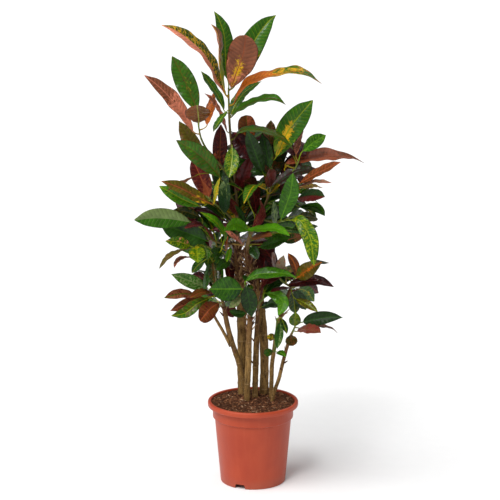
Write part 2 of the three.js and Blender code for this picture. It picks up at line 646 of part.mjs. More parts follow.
function pierces([from, to], [a, b, c]) {
  const ax = b.x - a.x;
  const ay = b.y - a.y;
  const az = b.z - a.z;
  const bx = c.x - a.x;
  const by = c.y - a.y;
  const bz = c.z - a.z;
  const dx = to.x - from.x;
  const dy = to.y - from.y;
  const dz = to.z - from.z;
  const px = dy * bz - dz * by;
  const py = dz * bx - dx * bz;
  const pz = dx * by - dy * bx;
  const span = ax * px + ay * py + az * pz;
  if (Math.abs(span) < 1e-12) return false;
  const sx = from.x - a.x;
  const sy = from.y - a.y;
  const sz = from.z - a.z;
  const u = (sx * px + sy * py + sz * pz) / span;
  if (u < 0 || u > 1) return false;
  const qx = sy * az - sz * ay;
  const qy = sz * ax - sx * az;
  const qz = sx * ay - sy * ax;
  const v = (dx * qx + dy * qy + dz * qz) / span;
  if (v < 0 || u + v > 1) return false;
  const t = (bx * qx + by * qy + bz * qz) / span;
  return t >= 0 && t <= 1;
}

function crosses(one, other) {
  for (const axis of ['x', 'y', 'z']) {
    if (one.low[axis] > other.high[axis] || other.low[axis] > one.high[axis]) return false;
  }
  const pairs = [[one.edges, other.skin], [other.edges, one.skin]];
  return pairs.some(([edges, skin]) => edges.some((edge) => skin.some((face) => pierces(edge, face))));
}

// ---- Growing the plant --------------------------------------------------------------------------

const canePaths = {};
for (const [name, rows] of Object.entries(CANES)) {
  canePaths[name] = rows.map((row, i) => (i === 0 ? rooted(pathPoints(row)) : pathPoints(row)));
}
const stemPaths = {};
for (const [name, rows] of Object.entries(STEMS)) {
  stemPaths[name] = rows.map(pathPoints);
  const [foot, next] = stemPaths[name][0];
  foot.at.addScaledVector(next.at.clone().sub(foot.at).normalize(), GAP);
}

// Where a leaf with its foot at a given point springs from the stems that may carry it.
function springsFrom(paths, foot) {
  let best = null;
  let bestCost = Infinity;
  for (const path of paths) {
    for (let i = 0; i + 1 < path.length; i += 1) {
      for (let step = i === 0 ? 3 : 0; step < 8; step += 1) {
        const at = path[i].at.clone().lerp(path[i + 1].at, step / 8);
        const cost = at.distanceTo(foot) + 0.5 * Math.abs(foot.z - 12 - at.z);
        if (cost < bestCost) {
          best = at;
          bestCost = cost;
        }
      }
    }
  }
  return best;
}

const woody = Object.entries(canePaths).flatMap(([name, paths]) => (
  paths.map((path) => ({ stem: name, whole: stemOutline(path, CANE_SIDES) }))
));
const green = Object.entries(stemPaths).flatMap(([name, paths]) => (
  paths.map((path) => ({ stem: name, whole: stemOutline(path, STEM_SIDES) }))
));
const stemsInTheWay = [...woody, ...green];
const leaves = [];

// How many bodies a leaf would cross: other stems, other stems' leaves, and blades on its own stem.
function crossings(stem, sections) {
  const whole = leafOutline(sections);
  const blade = leafOutline(sections.slice(1));
  let count = 0;
  for (const body of stemsInTheWay) if (body.stem !== stem && crosses(whole, body.whole)) count += 1;
  for (const body of leaves) {
    const apart = body.stem !== stem;
    if (crosses(apart ? whole : blade, apart ? body.whole : body.blade)) count += apart ? 2 : 1;
  }
  return count;
}

function keep(name, stem, sections) {
  leaves.push({
    name,
    stem,
    sections,
    whole: leafOutline(sections),
    blade: leafOutline(sections.slice(1)),
  });
}

function frontLeaf(row, seed, bend) {
  const [name, carrier, wide, footDepth, tipDepth, ...spine] = row;
  const points = spine.map((pair, i) => {
    const [across, down] = pair.split(',').map(Number);
    const share = i / (spine.length - 1);
    const depth = between([Number(footDepth) + bend / 4, Number(tipDepth) + bend], share);
    return placed(across, down, depth);
  });
  const seenWidth = (Number(wide) * points[0].distanceTo(EYE)) / VIEW_SCALE;
  const root = springsFrom(stemPaths[`leaves_${carrier}`], points[0]);
  return leafSections({ name, root, points, seenWidth, seed });
}

function growFrontLeaves() {
  FRONT_LEAVES.trim().split('\n').forEach((line, number) => {
    const row = line.split(' ');
    const stem = `leaves_${row[1]}`;
    let best = null;
    for (const bend of BENDS) {
      const sections = frontLeaf(row, SEED + number, bend);
      const count = crossings(stem, sections);
      if (!best || count < best.count) best = { sections, count };
      if (count === 0) break;
    }
    keep(row[0], stem, best.sections);
  });
}

function insideCrown(point) {
  const [across, down] = seen(point);
  let inside = false;
  CROWN_EDGE.forEach(([x, y], i) => {
    const [nextX, nextY] = CROWN_EDGE[(i + 1) % CROWN_EDGE.length];
    const level = (down - y) / (nextY - y);
    if ((y > down) !== (nextY > down) && across < x + (nextX - x) * level) inside = !inside;
  });
  return inside;
}

// Which of the sight lines a body stands in, each with the place in the front view that it ends at.
function hides(outline, sights) {
  const places = outline.skin.flat().map(seen);
  const [left, right] = [Math.min(...places.map(([x]) => x)), Math.max(...places.map(([x]) => x))];
  const [top, bottom] = [Math.min(...places.map(([, y]) => y)), Math.max(...places.map(([, y]) => y))];
  return sights.filter(({ line, across, down }) => (
    across > left && across < right && down > top && down < bottom
      && outline.skin.some((face) => pierces(line, face))
  ));
}

// Sight lines from the eye to what shows of the front leaves, of the canes and of the crown's gaps.
function openSights() {
  const sightTo = (at, leaf = null) => {
    const [across, down] = seen(at);
    return { line: [EYE, at], across, down, leaf };
  };
  let sights = CROWN_GAPS.map(([across, down]) => sightTo(placed(across, down, BEHIND_CROWN)));
  for (const { at } of Object.values(canePaths).flat(2)) {
    if (seen(at)[1] > CANES_SHOW_BELOW) sights.push(sightTo(at));
  }
  for (const leaf of leaves) {
    for (const { left, mid, right } of leaf.sections.slice(1, -1)) {
      for (const edge of [left, mid, right]) sights.push(sightTo(edge.clone().lerp(mid, SIGHT_INSET), leaf));
    }
  }
  for (const leaf of leaves) {
    const hidden = hides(leaf.whole, sights.filter((sight) => sight.leaf !== leaf));
    sights = sights.filter((sight) => !hidden.includes(sight));
  }
  return sights;
}

// A hidden leaf grows backwards from its stem, arches up and out, and droops to its tip.
function hiddenLeaf({ root, azimuth, length, petiole, rise, seed }) {
  const outward = new THREE.Vector3(Math.cos(azimuth), Math.sin(azimuth), 0);
  const reach = (from, distance, slope) => {
    const to = from.clone().addScaledVector(outward, distance * Math.cos(slope));
    return to.setZ(to.z + distance * Math.sin(slope));
  };
  const foot = reach(root, petiole, rise + 0.35);
  const middle = reach(foot, length * 0.5, rise);
  const tip = reach(middle, length * 0.5, rise - DROOP);
  const width = HIDDEN_SLENDERNESS * length + HIDDEN_BASE_WIDTH;
  const points = [foot, middle, tip];
  const level = new THREE.Vector3(-outward.y, outward.x, 0);
  const sight = EYE.clone().sub(foot).normalize();
  const seenShare = Math.abs(level.clone().cross(tip.clone().sub(foot).normalize()).dot(sight));
  const seenWidth = width * seenShare;
  return leafSections({ name: 'hidden', root, points, seenWidth, seed });
}

function growHiddenLeaves() {
  const random = seededRandom(SEED * 3);
  const sights = openSights();
  for (const { stem, branch, count, from, to } of HIDDEN_LEAVES) {
    const path = stemPaths[stem][branch];
    for (let n = 0; n < count; n += 1) {
      const along = between([from, to], (n + 0.5) / count) * (path.length - 1);
      const i = Math.min(Math.floor(along), path.length - 2);
      const root = path[i].at.clone().lerp(path[i + 1].at, along - i);
      const turn = HIDDEN_ARC[0] + ((n * GOLDEN_ANGLE + 40 * branch) % (HIDDEN_ARC[1] - HIDDEN_ARC[0]));
      const length = between(HIDDEN_LENGTH, random());
      const petiole = between(HIDDEN_PETIOLE, random());
      const rise = between(n % 2 ? SPREADING_RISE : UPRIGHT_RISE, random());
      for (const swing of SWINGS) {
        const azimuth = THREE.MathUtils.degToRad(turn + swing);
        const seed = SEED * 5 + leaves.length;
        const sections = hiddenLeaf({ root, azimuth, length, petiole, rise, seed });
        const inside = sections.every(({ left, mid, right }) => [left, mid, right].every(insideCrown));
        if (inside && !hides(leafOutline(sections), sights).length && !crossings(stem, sections)) {
          keep('hidden', stem, sections);
          break;
        }
      }
    }
  }
}

growFrontLeaves();
growHiddenLeaves();

// ---- Solids -------------------------------------------------------------------------------------

function joined(solids) {
  const pieces = wasm.Manifold.union(solids).simplify(SMALLEST_FEATURE).decompose();
  return pieces.reduce((largest, piece) => (piece.volume() > largest.volume() ? piece : largest));
}

function caneSolid(name, extra = 0) {
  return joined(canePaths[name].map((path) => stemSolid(path, CANE_SIDES, extra)));
}

function leafyStemSolid(name) {
  const cane = caneSolid(GROWS_ON[name], GAP);
  const stems = stemPaths[name].map((path) => stemSolid(path, STEM_SIDES));
  const own = leaves.filter((leaf) => leaf.stem === name).map((leaf) => leafSolid(leaf.sections));
  return joined([wasm.Manifold.union([...stems, ...own]).subtract(cane)]);
}

const plant = new THREE.Group();
plant.add(asMesh('pot', potSolid(), COLOURS.pot));

let soil = soilSolid();
for (const name of Object.keys(CANES)) {
  soil = soil.subtract(caneSolid(name, GAP));
  plant.add(asMesh(name, caneSolid(name), COLOURS.cane));
}
plant.add(asMesh('soil', soil, COLOURS.soil));
for (const name of Object.keys(STEMS)) plant.add(asMesh(name, leafyStemSolid(name), COLOURS.leaves));

export default plant;
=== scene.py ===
"""A croton in its nursery pot: fine leaves, stems, bark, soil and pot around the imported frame.

The plant grows here by the same rules and the same seeded draws as its solids, so each fine leaf lies on
its solid leaf. Lengths are in millimetres until a mesh is made.
"""

import math

import bpy
import numpy as np
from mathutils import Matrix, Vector, noise


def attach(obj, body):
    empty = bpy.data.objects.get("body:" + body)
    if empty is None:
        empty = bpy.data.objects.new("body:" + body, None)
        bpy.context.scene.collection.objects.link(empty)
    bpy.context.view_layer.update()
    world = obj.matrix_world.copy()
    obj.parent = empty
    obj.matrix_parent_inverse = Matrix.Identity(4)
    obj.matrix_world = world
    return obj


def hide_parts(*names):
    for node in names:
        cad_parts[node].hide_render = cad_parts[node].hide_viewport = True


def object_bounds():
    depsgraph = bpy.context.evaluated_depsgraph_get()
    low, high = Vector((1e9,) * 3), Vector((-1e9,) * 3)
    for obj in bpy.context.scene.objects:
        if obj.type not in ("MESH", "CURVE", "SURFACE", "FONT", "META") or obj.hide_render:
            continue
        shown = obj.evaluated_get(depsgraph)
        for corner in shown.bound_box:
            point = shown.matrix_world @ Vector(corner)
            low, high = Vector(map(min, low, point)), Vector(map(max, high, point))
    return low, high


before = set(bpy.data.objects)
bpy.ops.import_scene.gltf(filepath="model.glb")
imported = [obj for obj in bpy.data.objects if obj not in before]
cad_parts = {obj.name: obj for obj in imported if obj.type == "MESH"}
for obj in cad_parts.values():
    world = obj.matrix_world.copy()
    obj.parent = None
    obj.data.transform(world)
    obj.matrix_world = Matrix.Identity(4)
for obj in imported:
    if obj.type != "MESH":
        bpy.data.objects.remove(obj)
cad_low, cad_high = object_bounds()

METRE = 0.001

# ---- Driving dimensions -------------------------------------------------------------------------

POT_HEIGHT = 193
LIP_RADIUS = 105
RIM_INNER_RADIUS = 97
LIP_DEPTH = 12
COLLAR_RADIUS = 93.5
COLLAR_DEPTH = 38
WALL_TOP_RADIUS = 89
FOOT_RADIUS = 75.6
WALL = 2
RING_WIDTH = 4
FLOOR_RAISE = 6
FLOOR_THICKNESS = 2.5

NOTCHES = 3
NOTCH_WIDTH = 25.6
NOTCH_HEIGHT = 10
FIRST_NOTCH_DEGREES = -113.6

SOIL_BELOW_RIM = 9
SOIL_MOUND = 9
ROOTED_DEPTH = 60

GAP = 0.3
CANE_SIDES = 8
STEM_SIDES = 6

PETIOLE_RADIUS = 1.7
ROOT_SPREAD = 0.5
CLEARANCE = 1.3
FOLD = 0.2
WAVE = 0.07
SLENDEREST = 0.2
SLENDER_BASE = 8

EYE = np.array([0.0, -4000.0, 1460.0])
EYE_TILT_DEGREES = -12.82
VIEW_SCALE = 1800
VIEW_CENTRE = (253, 250)
PHOTO_SIDE = 500
SENSOR = 36

# ---- The plant's layout, as in its solids -------------------------------------------------------

# Woody canes: points from the soil up, each (across, down, depth, radius), the first two in the front view.
CANES = {
  "cane_main": [[[243.5, 392, 50, 12.7], [242.5, 370, 48, 12.4], [242.5, 348, 46, 12], [242, 320, 42, 11.5],
    [241, 298, 38, 11], [239.5, 275, 34, 10.5], [238, 258, 30, 9.5], [238, 246, 28, 8]]],
  "cane_right": [[[264, 388, 46, 11], [264.5, 370, 44, 10.6], [264, 345, 40, 10], [262, 320, 34, 9.8],
    [260, 300, 28, 9.5], [255.5, 282, 20, 9], [249.5, 265, 10, 8.6], [247, 250, 4, 7.5]]],
  "cane_front": [[[247, 399, -8, 7.3], [247.5, 380, -10, 7.1], [248.5, 360, -12, 7], [249, 340, -14, 6.8],
    [250, 317, -17, 6.4]]],
  "cane_left": [[[246, 394, 26, 6.6], [241, 372, 20, 6.4], [238, 360, 14, 6.3], [234, 348, 8, 6.2],
    [228, 328, -6, 5.8], [224, 307, -16, 5.2]],
  [[230.5, 346, 2, 4], [224, 333, -4, 3.6], [213, 314, -8, 3.2]]],
  "cane_thin": [[[255.2, 395, 18, 7.2], [255.5, 370, 17, 7], [256.6, 340, 12, 6.4], [257.5, 311, 4, 4.6]]],
  "cane_back": [[[271, 396, 16, 5.2], [271.5, 380, 16, 5.2], [272, 365, 14, 5.1], [274, 350, 10, 5],
    [277, 332, 8, 4.8], [282, 312, 4, 4.6], [290, 290, -2, 4.2]]],
  "cane_outer": [[[272.5, 399, -12, 4.6], [279, 378, -16, 4.4], [284, 358, -20, 4.2], [290, 337, -25, 3.9]]],
}

# Leafy stems, each going on from a cane or forking from its own first stem.
STEMS = {
  "leaves_main": [
    [[238, 246, 28, 6.5], [237.5, 225, 26, 4.4], [236, 190, 20, 3.4], [233, 157, 12, 3], [230, 130, 8, 2.8],
      [229, 108, 6, 2.5], [228.5, 88, 4, 1.8]],
    [[235, 186, 19, 2.6], [221, 166, 4, 2.4], [208, 151, -8, 2.3], [201, 138, -14, 2.1],
      [198, 122, -14, 1.6]],
    [[236.5, 206, 23, 2.6], [228, 190, -2, 2.4], [219, 176, -18, 2], [216, 164, -18, 1.5]],
    [[237, 224, 25, 2.8], [226, 213, 0, 2.5], [214, 203, -28, 2.2], [206, 196, -34, 1.6]],
    [[238, 243, 27, 3.4], [224, 244, 0, 2.8], [209, 238, -18, 2.4], [200, 228, -24, 1.7]],
    [[224, 244, 0, 2.4], [214, 251, -18, 2.1], [208, 258, -26, 1.6]],
    [[233, 157, 12, 2.4], [240, 151, 10, 2.1], [245, 144, 6, 1.6]],
  ],
  "leaves_right": [
    [[247, 250, 4, 6], [250, 236, 0, 4.2], [258, 218, -6, 3.4], [266, 203, -12, 3], [271, 188, -18, 2.7],
      [272, 172, -22, 2.4], [270, 160, -24, 1.8]],
    [[271, 188, -18, 2.4], [282, 178, -24, 2.2], [294, 170, -24, 2], [299, 160, -22, 1.6]],
    [[266, 203, -12, 2.4], [280, 205, -12, 2.2], [293, 200, -10, 1.9], [299, 190, -12, 1.5]],
    [[258, 218, -6, 2.6], [274, 222, -24, 2.4], [288, 220, -44, 1.8]],
    [[250, 236, 0, 2.8], [249, 232, -20, 2.5], [250, 228, -36, 1.7]],
  ],
  "leaves_front": [
    [[250, 317, -17, 5.4], [249.5, 309, -20, 3.2], [247, 295, -28, 2.4], [245, 284, -34, 1.8]],
  ],
  "leaves_left": [
    [[224, 307, -16, 4.4], [222, 300, -20, 3.2], [218, 294, -24, 2.4], [213, 288, -24, 1.7]],
    [[222, 300, -20, 2.6], [231, 295, -34, 2.2], [240, 290, -46, 1.7]],
  ],
  "leaves_thin": [[[257.5, 311, 4, 3.2], [259, 304, 0, 2.6], [264, 298, -8, 1.8]]],
  "leaves_back": [
    [[290, 290, -2, 3.6], [293, 282, -6, 2.8], [296, 276, -10, 1.8]],
    [[291, 287, -3, 2.6], [281, 280, -4, 2.3], [277, 270, -6, 1.7]],
  ],
  "leaves_outer": [[[290, 337, -25, 3.2], [293, 331, -27, 2.4], [296, 324, -30, 1.7]]],
  "leaves_sprout": [
    [[274, 352, 9, 2.8], [274.5, 350, -3, 2.4], [275.5, 338, -10, 2.1], [277, 318, -12, 1.5]],
  ],
}

# Leaves seen from the front: name, stem, seen width, depth of foot and of tip, then the midrib.
FRONT_LEAVES = """
T1 main 12 -4 -25 226,95 217,80 212,67 203,53 190,41 176,31 161,25
T2 main 15 12 60 228,80 226,70 225,50 224,35 219,20 214,11
T3 main 5 0 -20 225,93 221,75 219,60 219,45 217,33 211,24
T4 main 30 -6 -50 231,88 237,71 243,54 246,35
T5 main 24 14 60 235,85 247,55 258,35 268,22 276,15
T6 main 9 -2 -20 234,103 240,92 250,82 262,78 275,75 290,72 303,73 322,84
T7 main 8 -14 -60 231,117 240,109 255,102 265,99 276,99 286,105
T8 main 8 16 50 224,110 219,98 212,87 201,71
T9 main 6 -10 -60 227,111 221,119 213,132
T10 main 5 -2 -40 227,131 223,122 218,110 211,99 204,93
T11 main 15 -16 -60 232,147 232,160 229,178
T12 main 7 -10 -50 233,139 240,132 250,130 265,132 280,138 294,150
T13 main 10 16 60 231,115 236,104 243,94 252,87 262,81
L1 main 14 -26 -60 193,131 187,121 180,110 170,98 158,86 144,75
L2 main 21 -14 20 197,110 190,93 182,75 172,56
L3 main 25 -30 -120 199,123 198,113 197,105
L4 main 9 -10 50 207,125 211,108 214,92
M1 main 17 0 40 205,168 193,146 179,121
M2 main 20 -40 -80 220,177 208,163 195,152 176,140
M3 main 18 -22 0 209,197 201,178 192,158
M4 main 15 10 30 219,169 220,147 221,124
M5 main 4 -30 -60 195,176 181,184 167,191
M6 main 13 -46 -70 211,204 195,196 180,188 161,181
M7 main 13 -36 -40 199,206 182,199 170,192 159,186
M8 main 5 -44 -70 214,203 217,191 220,178
M9 main 6 -24 -40 222,218 212,209 200,203 190,202
M10 main 20 0 -40 232,132 242,144 250,158
M11 main 14 6 -10 237,191 245,172 252,155
M12 main 13 -30 -110 224,213 225,196 227,178
R1 main 18 4 30 246,150 247,132 246,115
P1 main 20 -44 -90 190,222 172,219 153,218 134,220
P2 main 11 -20 -60 200,217 186,212 173,210
P3 main 24 -26 -30 207,241 195,236 178,230 160,224
P4 main 14 -12 10 209,236 197,223 183,210
P5 main 12 -40 -100 190,246 178,242 165,241
P6 main 5 -34 -70 190,248 178,252 168,258 159,269
P7 main 4 -28 -60 195,257 183,258 177,262 174,268
P8 main 17 -44 -120 197,246 197,254 198,263
P9 main 7 -34 -70 205,247 207,253 207,260
P10 main 7 -52 -75 222,248 225,236 220,228 213,220 200,212
P11 main 8 -30 -70 222,254 216,251 210,250
P12 main 8 -30 -60 208,264 208,277 204,290
P13 main 13 -34 -70 213,262 215,275 216,288
P14 main 10 -4 -60 230,262 223,264 216,270
F3 main 9 14 -20 241,216 234,208 226,196
F4 main 5 -10 -60 226,250 227,243 228,236
F5 main 6 -12 -50 230,247 229,255 227,262
F6 main 5 -24 -90 243,244 235,238 225,231
R2 right 12 -20 30 268,150 270,135 271,120
R3 right 25 -34 -50 276,157 282,143 290,128 300,115 313,100
R4 right 7 -10 40 296,155 299,140 303,125
R5 right 14 -20 30 303,151 314,142 326,135
R6 right 15 -36 -50 263,173 255,152 247,130
R7 right 13 -30 -20 270,168 266,150 262,133
R8 right 12 -34 -150 271,187 270,178 269,169
R9 right 12 -40 -60 272,187 285,178 300,171 320,170
R10 right 11 -22 90 286,164 300,160 320,156.5 340,156 355,159 365,163.5
R11 right 9 -28 -70 300,183 318,173 341,162
R12 right 4 -10 -30 300,186 315,182 332,183
R13 right 5 -6 60 300,188 312,186 323,188
R14 right 13 -18 -140 298,198 311,196 325,197
R15 right 9 -6 -70 300,207 313,207 320,211 325,216
R16 right 9 6 70 298,216 308,217 318,219
R17 right 8 10 60 292,230 306,227 318,226
R18 right 18 -52 -80 281,219 287,203 291,190 293,173
R19 right 7 -40 -85 275,226 274,213 273,201
R20 right 6 -44 -90 272,192 276,188 280,185
R21 right 4 -10 40 285,168 294,159 304,152
F1 right 9 -50 -130 247,230 262,229 276,229 290,236
F2 right 13 -50 -150 248,230 234,224 224,230
F7 right 8 -44 -190 252,238 262,236 272,236
F8 right 11 -24 -90 260,247 274,243 290,238
F9 right 10 -8 -60 284,241 294,238 304,236
F10 right 8 -40 -100 252,230 264,212 259,196
F11 right 6 -24 -40 246,224 241,215 235,205
Q1 right 16 -62 -110 291,220 299,220 306,229 311,241 314,266
Q5 front 11 -44 -70 246,281 256,275 270,273.5 285,274 297,278
Q2 back 16 -20 -100 297,278 309,269 322,262
Q3 back 9 -14 -10 297,277 295,265 288,253
Q4 back 11 -12 -40 288,285 303,282 319,281 334,287
Q6 back 10 -16 -60 278,272 281,264 284,255
Q7 back 5 -12 -60 275,268 273,260 272,252
Q8 back 7 4 40 297,276 314,264 330,263
Q9 back 5 6 60 298,281 309,277 319,277
Q10 back 4 -12 -40 291,288 280,289 270,292
Q11 back 12 4 40 295,290 300,299 306,310
Q14 back 8 -16 -50 296,299 306,304 318,312
Q15 thin 13 -20 -60 266,293 277,296 283,304 278,316
Q16 outer 12 -32 -90 295,326 295,319 296,312
Q17 outer 14 -34 -70 303,322 316,319 330,317 343,317.5
Q18 outer 11 -38 -176 299,328 309,330 321,333
Q19 outer 4 -30 -30 301,331 314,326 331,328.5 338,333.5
Q20 outer 12 -32 -90 290,335 291,340 293,346
S1 sprout 8 -10 -30 273,351 269,352 264,354
S2 sprout 6 -6 -30 277,352 281,353 286,357
S3 sprout 8 -12 -20 274,339 271,337 267,336
S4 sprout 9 -18 -34 280,322 279,335 277,349
S5 sprout 6 -20 -40 281,318 284,325 287,334
N1 left 14 -28 -50 208,289 190,281 171,274
N2 left 10 -32 -90 196,295 180,294 164,298
N3 left 8 -34 -100 211,291 200,293 190,298
N4 left 12 -28 -40 205,298 187,304 170,311
N5 left 12 -42 -80 210,298 197,304 185,313 171,316
N6 left 17 -46 -140 219,303 210,309 200,321
N7 left 25 -56 -80 242,289 226,289 209,289
N8 left 8 -50 -90 240,297 235,303 229,308
N9 front 8 -32 -70 246,313 238,314 229,311
N10 front 17 -46 -48 246,286 249,300 252,317
"""

# Leaves that the front ones hide: stem, branch, how many, and the stretch of the branch they take.
HIDDEN_LEAVES = [
    ("leaves_main", 0, 64, 0.06, 0.8),
    ("leaves_main", 1, 8, 0.3, 0.95),
    ("leaves_main", 2, 6, 0.3, 0.95),
    ("leaves_main", 3, 9, 0.3, 0.95),
    ("leaves_main", 4, 11, 0.3, 0.95),
    ("leaves_main", 5, 8, 0.3, 0.95),
    ("leaves_right", 0, 44, 0.1, 0.95),
    ("leaves_right", 1, 9, 0.3, 0.95),
    ("leaves_right", 2, 11, 0.3, 0.95),
    ("leaves_right", 3, 9, 0.3, 0.95),
    ("leaves_left", 0, 11, 0.1, 0.95),
    ("leaves_left", 1, 5, 0.3, 0.95),
    ("leaves_front", 0, 5, 0.5, 0.95),
    ("leaves_thin", 0, 9, 0.2, 0.95),
    ("leaves_back", 0, 11, 0.2, 0.95),
    ("leaves_back", 1, 8, 0.2, 0.95),
    ("leaves_outer", 0, 5, 0.2, 0.95),
]
HIDDEN_LENGTH = [105, 170]
HIDDEN_SLENDERNESS = 0.34
HIDDEN_BASE_WIDTH = 12
HIDDEN_PETIOLE = [18, 36]
HIDDEN_ARC = [-25, 205]
BRANCH_TURN = 40
PETIOLE_STEEPER = 0.35
SPREADING_RISE = [0.1, 0.6]
UPRIGHT_RISE = [0.7, 1.2]
DROOP = 0.7
GOLDEN_ANGLE = 137.5
CROWN_EDGE = [[226, 136], [236, 128], [247, 117], [262, 124], [300, 128], [312, 146], [312, 166],
  [318, 186], [322, 206], [322, 226], [306, 240], [277, 241], [276, 264], [300, 264], [320, 274], [321, 290],
  [320, 312], [298, 317], [284, 321], [273, 305], [262, 319], [240, 322], [222, 312], [200, 306], [188, 292],
  [192, 264], [184, 258], [172, 244], [160, 226], [176, 196], [204, 190], [208, 166], [226, 160]]
CROWN_GAPS = [[245, 254], [224, 258], [223, 274], [224, 280], [247, 285], [268, 312], [268, 322],
  [268, 332], [269, 345], [281, 249], [290, 252], [297, 256], [285, 260]]
BEHIND_CROWN = 300
CANES_SHOW_BELOW = 236
SIGHT_INSET = 0.2
# A leaf's root: steps of each stretch of stem, the first one that may carry a leaf at the stem's own foot,
# how far below the blade's foot it lies best, and how much that counts.
ROOT_STEPS = 8
FIRST_ROOT_STEP = 3
ROOT_BELOW_FOOT = 12
ROOT_HEIGHT_WEIGHT = 0.5
BENDS = [0, 12, -12, 24, -24, 36, -36, 50, -50, 65, -65, 80, -80, 100, -100, 120, -120]
SWINGS = [0, 14, -14, 28, -28, 42, -42, 56, -56, 70, -70]
TWIST = 0.5
SEED = 20417
SHORT_BLADE = [[0, 0.1], [0.3, 0.92], [0.68, 0.84], [1, 0]]
MIDDLE_BLADE = [[0, 0.1], [0.22, 0.76], [0.5, 1], [0.78, 0.68], [1, 0]]
LONG_BLADE = [[0, 0.1], [0.16, 0.62], [0.36, 0.98], [0.6, 0.96], [0.82, 0.56], [1, 0]]
MIDDLE_FROM = 85
LONG_FROM = 165
BLUNT_BLADE = [[0, 0.1], [0.25, 0.66], [0.55, 1], [0.86, 0.84], [1, 0]]
BLUNT_LEAVES = ['T4', 'L3', 'R1', 'M10', 'N6', 'S1', 'Q20']

# ---- Small helpers ------------------------------------------------------------------------------


def seeded_random(seed):
    state = seed

    def draw():
        nonlocal state
        state = (state * 16807) % 2147483647
        return state / 2147483647

    return draw


def between(span, share):
    return span[0] + (span[1] - span[0]) * share


def unit(vector):
    return vector / math.sqrt(vector @ vector)


def round_angles(count):
    return 2 * np.pi * np.arange(count) / count


def cross(a, b):
    return np.array([a[1] * b[2] - a[2] * b[1], a[2] * b[0] - a[0] * b[2], a[0] * b[1] - a[1] * b[0]])


def turned(vector, axis, angle):
    """The vector turned about a unit axis."""
    along = axis * (axis @ vector)
    return along + (vector - along) * math.cos(angle) + cross(axis, vector) * math.sin(angle)


TILT = math.radians(EYE_TILT_DEGREES)
FORWARD = np.array([0, math.cos(TILT), math.sin(TILT)])
UPWARD = np.array([0, -math.sin(TILT), math.cos(TILT)])
RIGHTWARD = np.array([1.0, 0, 0])


def placed(across, down, depth):
    """The point that the front view shows at (across, down), at a given depth."""
    sight = FORWARD * VIEW_SCALE + RIGHTWARD * (across - VIEW_CENTRE[0]) + UPWARD * (VIEW_CENTRE[1] - down)
    return EYE + sight * ((depth - EYE[1]) / sight[1])


def seen(points):
    """Where the front view shows each point, as (across, down)."""
    offset = points - EYE
    scale = VIEW_SCALE / (offset @ FORWARD)
    return np.stack([VIEW_CENTRE[0] + offset[:, 0] * scale, VIEW_CENTRE[1] - (offset @ UPWARD) * scale], 1)


# ---- Canes, stems and midribs -------------------------------------------------------------------


def path_points(rows):
    return [(placed(across, down, depth), radius) for across, down, depth, radius in rows]


def rooted(points):
    at, radius = points[0]
    return [(np.array([at[0], at[1], at[2] - ROOTED_DEPTH]), radius)] + points


def stem_rings(points, sides, extra=0.0):
    rings = []
    for i, (at, radius) in enumerate(points):
        along = unit(points[min(i + 1, len(points) - 1)][0] - points[max(i - 1, 0)][0])
        first = unit(cross(np.array([0, 1.0, 0]), along))
        second = cross(along, first)
        angles = round_angles(sides)[:, None]
        rings.append(at + (radius + extra) * (first * np.cos(angles) + second * np.sin(angles)))
    return rings


def on_curve(points, t):
    """A point of the Catmull-Rom curve through the points, with t from 0 to 1."""
    last = len(points) - 1
    step = min(int(t * last), last - 1)
    part = t * last - step
    b, c = points[step], points[step + 1]
    a = points[step - 1] if step > 0 else 2 * points[0] - points[1]
    d = points[step + 2] if step + 2 <= last else 2 * points[last] - points[last - 1]
    start, end = 0.5 * (c - a), 0.5 * (d - b)
    square = -3 * b + 3 * c - 2 * start - end
    cube = 2 * b - 2 * c + start + end
    return b + start * part + square * part**2 + cube * part**3


def midrib_of(points, steps=24):
    """Points along a smooth midrib at equal steps, with their running length."""
    trail = np.array([on_curve(points, i / steps) for i in range(steps + 1)])
    lengths = np.concatenate([[0], np.cumsum(np.sqrt(((trail[1:] - trail[:-1]) ** 2).sum(1)))])
    return trail, lengths


def on_midrib(midrib, share):
    trail, lengths = midrib
    wanted = share * lengths[-1]
    i = 1
    while i < len(trail) - 1 and lengths[i] < wanted:
        i += 1
    part = (wanted - lengths[i - 1]) / max(lengths[i] - lengths[i - 1], 1e-9)
    return trail[i - 1] + (trail[i] - trail[i - 1]) * part, unit(trail[i] - trail[i - 1])


# ---- The solid leaf: what the fine leaf follows -------------------------------------------------


def stations_for(length, name):
    if name in BLUNT_LEAVES:
        return BLUNT_BLADE
    if length < MIDDLE_FROM or name == "hidden":
        return SHORT_BLADE
    return MIDDLE_BLADE if length < LONG_FROM else LONG_BLADE


def petiole_end(at, side, way):
    """A petiole's cross-section, square to the way it runs there."""
    level = unit(side - way * (side @ way))
    return [at - level * PETIOLE_RADIUS, at, at + level * PETIOLE_RADIUS, cross(level, way)]


